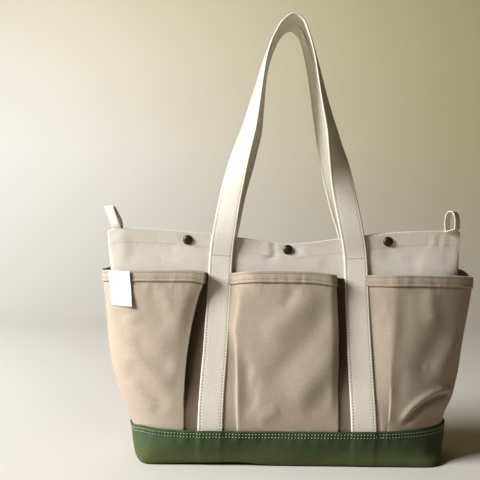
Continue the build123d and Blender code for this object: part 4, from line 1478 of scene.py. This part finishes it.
def snap_caps():
    mesh = Mesh()
    for x, z in SNAPS:
        y = -(float(wall_depth(z)) + 1.25)
        d = float(cream_folds(np.array([x]), np.array([z]), -1)[0])
        c = np.array([x, y - d + 0.15, z])
        # rolled lower edge, short wall, crowned top
        prof = [(0.0, -0.5), (4.6, -0.5), (5.9, -0.35), (6.3, 0.1), (6.38, 0.5), (6.28, 0.85), (6.02, 1.08), (5.86, 1.3), (5.75, 1.65), (5.52, 2.1),
                (5.05, 2.55), (4.3, 2.93), (3.3, 3.2), (2.2, 3.36), (1.1, 3.43), (0.0, 3.45)]
        revolve(mesh, prof, c, (0.0, -1.0, -0.03))
    ob = mesh.build("snap_cap_domes", [BRASS])
    return ob


def snap_rings():
    mesh = Mesh()
    for x, z in SNAPS:
        y = float(wall_depth(z)) + 1.25
        d = float(cream_folds(np.array([x]), np.array([z]), 1)[0])
        c = np.array([x, y + d - 0.15, z])
        prof = [(0.0, -0.5), (4.6, -0.5), (5.6, -0.3), (5.95, 0.2), (5.95, 0.7), (5.6, 1.1), (5.0, 1.25), (4.3, 1.2), (3.6, 0.95), (3.1, 0.6), (2.7, 0.45), (1.6, 0.42), (0.0, 0.42)]
        revolve(mesh, prof, c, (0.0, 1.0, 0.0))
    return mesh.build("snap_back_rings", [BRASS])


def set_only_material(node, mat):
    ob = bpy.data.objects.get(node)
    if ob is None:
        return
    ob.data.materials.clear()
    ob.data.materials.append(mat)


CAPS = snap_caps()
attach(CAPS, "front_wall")
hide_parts("snap_caps")
RINGS = snap_rings()
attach(RINGS, "back_wall")
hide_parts("snap_backs")
for nd in ("snap_sockets", "snap_studs"):
    set_only_material(nd, BRASS)


# =========================================================================
# bare white label
# =========================================================================
def label():
    G = POCKETS[(-1, -1)]
    gp = G["P"]
    nu, nv = 34, 44
    uu = np.linspace(0, 1, nu)
    vv = np.linspace(0, 1, nv)
    V, U = np.meshgrid(vv, uu, indexing="ij")
    # corners read against the front: lower left, lower right, upper left, upper right
    X = (1 - V) * (-224.4 + 29.3 * U) + V * (-229.0 + 29.0 * U)
    Z = (1 - V) * (187.4 - 0.6 * U) + V * (230.9 - 0.2 * U)
    # depth of the pocket's outer face under each point
    from mathutils.kdtree import KDTree
    kd = KDTree(gp.shape[0] * gp.shape[1])
    flat = gp.reshape(-1, 3)
    for i, p in enumerate(flat):
        kd.insert((p[0], p[2], 0.0), i)
    kd.balance()
    Y = np.zeros_like(X)
    for i in range(nv):
        for j in range(nu):
            hits = kd.find_n((X[i, j], min(Z[i, j], 230.2), 0.0), 10)
            w = np.array([1.0 / (h[2] + 0.35) ** 2 for h in hits])
            ys = np.array([flat[h[1]][1] for h in hits])
            # only the front face's points count
            Y[i, j] = (w * ys).sum() / w.sum()
    # smooth a little: stiff cloth spans the small unevenness
    for _ in range(6):
        Y[1:-1] = (Y[:-2] + 2 * Y[1:-1] + Y[2:]) / 4
        Y[:, 1:-1] = (Y[:, :-2] + 2 * Y[:, 1:-1] + Y[:, 2:]) / 4
    hemstep = smooth(Z, 214.5, 218.5)
    off = 1.35 + 0.25 * hemstep
    lift = 2.6 * smooth(U, 0.35, 1.0) ** 2 * smooth(1 - V, 0.45, 1.0) + 0.7 * smooth(U, 0.7, 1.0) * smooth(V, 0.2, 0.8)
    Y = Y - off - lift + 0.25 * vnoise(U * 2.2, V * 3.1, 91)
    P = np.stack([X, Y, Z], 2)
    mesh = Mesh()
    uv = np.stack([U * 28.7, V * 44.8], 2)
    out, inn = cloth(mesh, P, 0.75, uv, 0)
    N = normals(out)
    # sewn down along the top, close to the edge
    stitches(mesh, out[-2, 1:-1], N[-2, 1:-1], pitch=2.2, length=1.6, width=0.34, height=0.16, mat=1)
    return mesh.build("label_white", [WHITE, TH_WHITE])


TH_WHITE = thread("thread_white", lin(246, 246, 245), lin(214, 213, 210))
LABEL = label()
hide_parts("label")
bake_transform(LABEL)


# =========================================================================
# floor, backdrop, light, camera
# =========================================================================
# pale studio paint whose colour carries painted shade: darker and warmer to the right and up the backdrop, darker on
# the flat floor
def pale_with_painted_falloff(name, col, painted_falloff_shade, flat, rough=0.9):
    k = Nodes(name)
    tc = k.add("ShaderNodeTexCoord")
    n = k.noise(tc.outputs["Object"], 3.0, 2.0)
    dark = tuple(c * 0.985 for c in col[:3]) + (1.0,)
    c = k.mix(k.ramp(n, 0.3, 0.7), col, dark)
    so = k.add("ShaderNodeSeparateXYZ")
    k.link(tc.outputs["Object"], so.inputs[0])
    # painted shade: towards +x and high up the backdrop the colour turns darker and warmer, standing in for the key's
    # light falling off; near z=0 the flat floor is darker, holding down the key's bright light on it
    c = k.mix(k.ramp(so.outputs[0], -1.5, 1.7, 0.0, 1.0), c, painted_falloff_shade)
    c = k.mix(k.ramp(so.outputs[2], 0.0, 0.8, 0.7, 0.0), c, flat)
    c = k.mix(k.ramp(so.outputs[2], 0.7, 2.0, 0.0, 0.6), c, painted_falloff_shade)
    k.link(c, k.b.inputs["Base Color"])
    k.b.inputs["Roughness"].default_value = rough
    k.b.inputs["Specular IOR Level"].default_value = 0.1
    return k.mat


def floor():
    """A pale floor that curves up into a backdrop."""
    n_arc = 24
    r = 1.3
    prof = [(-2.1, 0.0), (-1.2, 0.0), (0.0, 0.0), (1.1, 0.0)]
    for i in range(1, n_arc + 1):
        a = math.pi / 2 * i / n_arc
        prof.append((1.1 + r * math.sin(a), r * (1 - math.cos(a))))
    prof.append((2.4, 4.0))
    verts, faces = [], []
    for x in (-3.4, 3.4):
        verts += [(x, y, z) for y, z in prof]
    m = len(prof)
    for i in range(m - 1):
        faces.append((i, i + m, i + m + 1, i + 1))
    me = bpy.data.meshes.new("floor_sweep")
    me.from_pydata(verts, [], faces)
    me.polygons.foreach_set("use_smooth", np.full(len(faces), True))
    me.materials.append(pale_with_painted_falloff("floor_pale", lin(226, 222, 212), lin(216, 201, 156), lin(196, 191, 180)))
    me.update()
    ob = bpy.data.objects.new("floor_sweep", me)
    bpy.context.scene.collection.objects.link(ob)
    return ob


FLOOR = floor()


def area(name, loc, target, size, energy, color=(1, 1, 1), size_y=None):
    ld = bpy.data.lights.new(name, "AREA")
    ld.energy = energy
    ld.color = color
    ld.size = size
    if size_y:
        ld.shape = "RECTANGLE"
        ld.size_y = size_y
    ob = bpy.data.objects.new(name, ld)
    ob.location = loc
    d = Vector(target) - Vector(loc)
    ob.rotation_euler = d.to_track_quat("-Z", "Y").to_euler()
    bpy.context.scene.collection.objects.link(ob)
    return ob


KEY = area("key_soft", (-2.52, -0.82, 1.65), (0.0, 0.0, 0.24), 1.1, 206.0, (0.93, 0.985, 1.10), 1.1)
BACK = area("backdrop_soft", (-1.25, 0.30, 0.85), (-0.55, 1.3, 0.3), 0.9, 0.15, (1.0, 1.0, 0.98), 0.9)

world = bpy.data.worlds.new("studio") if bpy.context.scene.world is None else bpy.context.scene.world
bpy.context.scene.world = world
world.use_nodes = True
bg = next(n for n in world.node_tree.nodes if n.type == "BACKGROUND")
bg.inputs["Color"].default_value = (1.0, 0.55, 0.04, 1.0)
bg.inputs["Strength"].default_value = 0.055
# past the edge of the sweep the studio is pale too
wt = world.node_tree
seen = wt.nodes.new("ShaderNodeBackground")
seen.inputs["Color"].default_value = (0.78, 0.76, 0.72, 1.0)
lp = wt.nodes.new("ShaderNodeLightPath")
mixw = wt.nodes.new("ShaderNodeMixShader")
wout = next(n for n in wt.nodes if n.type == "OUTPUT_WORLD")
wt.links.new(lp.outputs["Is Camera Ray"], mixw.inputs[0])
wt.links.new(bg.outputs[0], mixw.inputs[1])
wt.links.new(seen.outputs[0], mixw.inputs[2])
wt.links.new(mixw.outputs[0], wout.inputs["Surface"])
bpy.context.scene.view_settings.view_transform = "Standard"
bpy.context.scene.view_settings.gamma = 0.87

# camera: a little left of the middle, level with the upper part of the bag
yaw, pitch, roll = math.radians(0.378), math.radians(-0.548), math.radians(0.542)
fwd = Vector((-math.sin(yaw) * math.cos(pitch), math.cos(yaw) * math.cos(pitch), -math.sin(pitch)))
right = fwd.cross(Vector((0, 0, 1))).normalized()
upv = right.cross(fwd)
r2 = right * math.cos(roll) + upv * math.sin(roll)
u2 = upv * math.cos(roll) - right * math.sin(roll)
from mathutils import Matrix
cam_data = bpy.data.cameras.new("camera")
cam_data.lens = 42.735
cam_data.sensor_width = 36.0
cam_data.sensor_fit = "HORIZONTAL"
cam_data.dof.use_dof = False
cam_data.clip_start = 0.01
cam = bpy.data.objects.new("camera", cam_data)
cam.matrix_world = Matrix(((r2.x, u2.x, -fwd.x, -0.05558), (r2.y, u2.y, -fwd.y, -0.74737), (r2.z, u2.z, -fwd.z, 0.26489), (0, 0, 0, 1)))
bpy.context.scene.collection.objects.link(cam)
bpy.context.scene.camera = cam
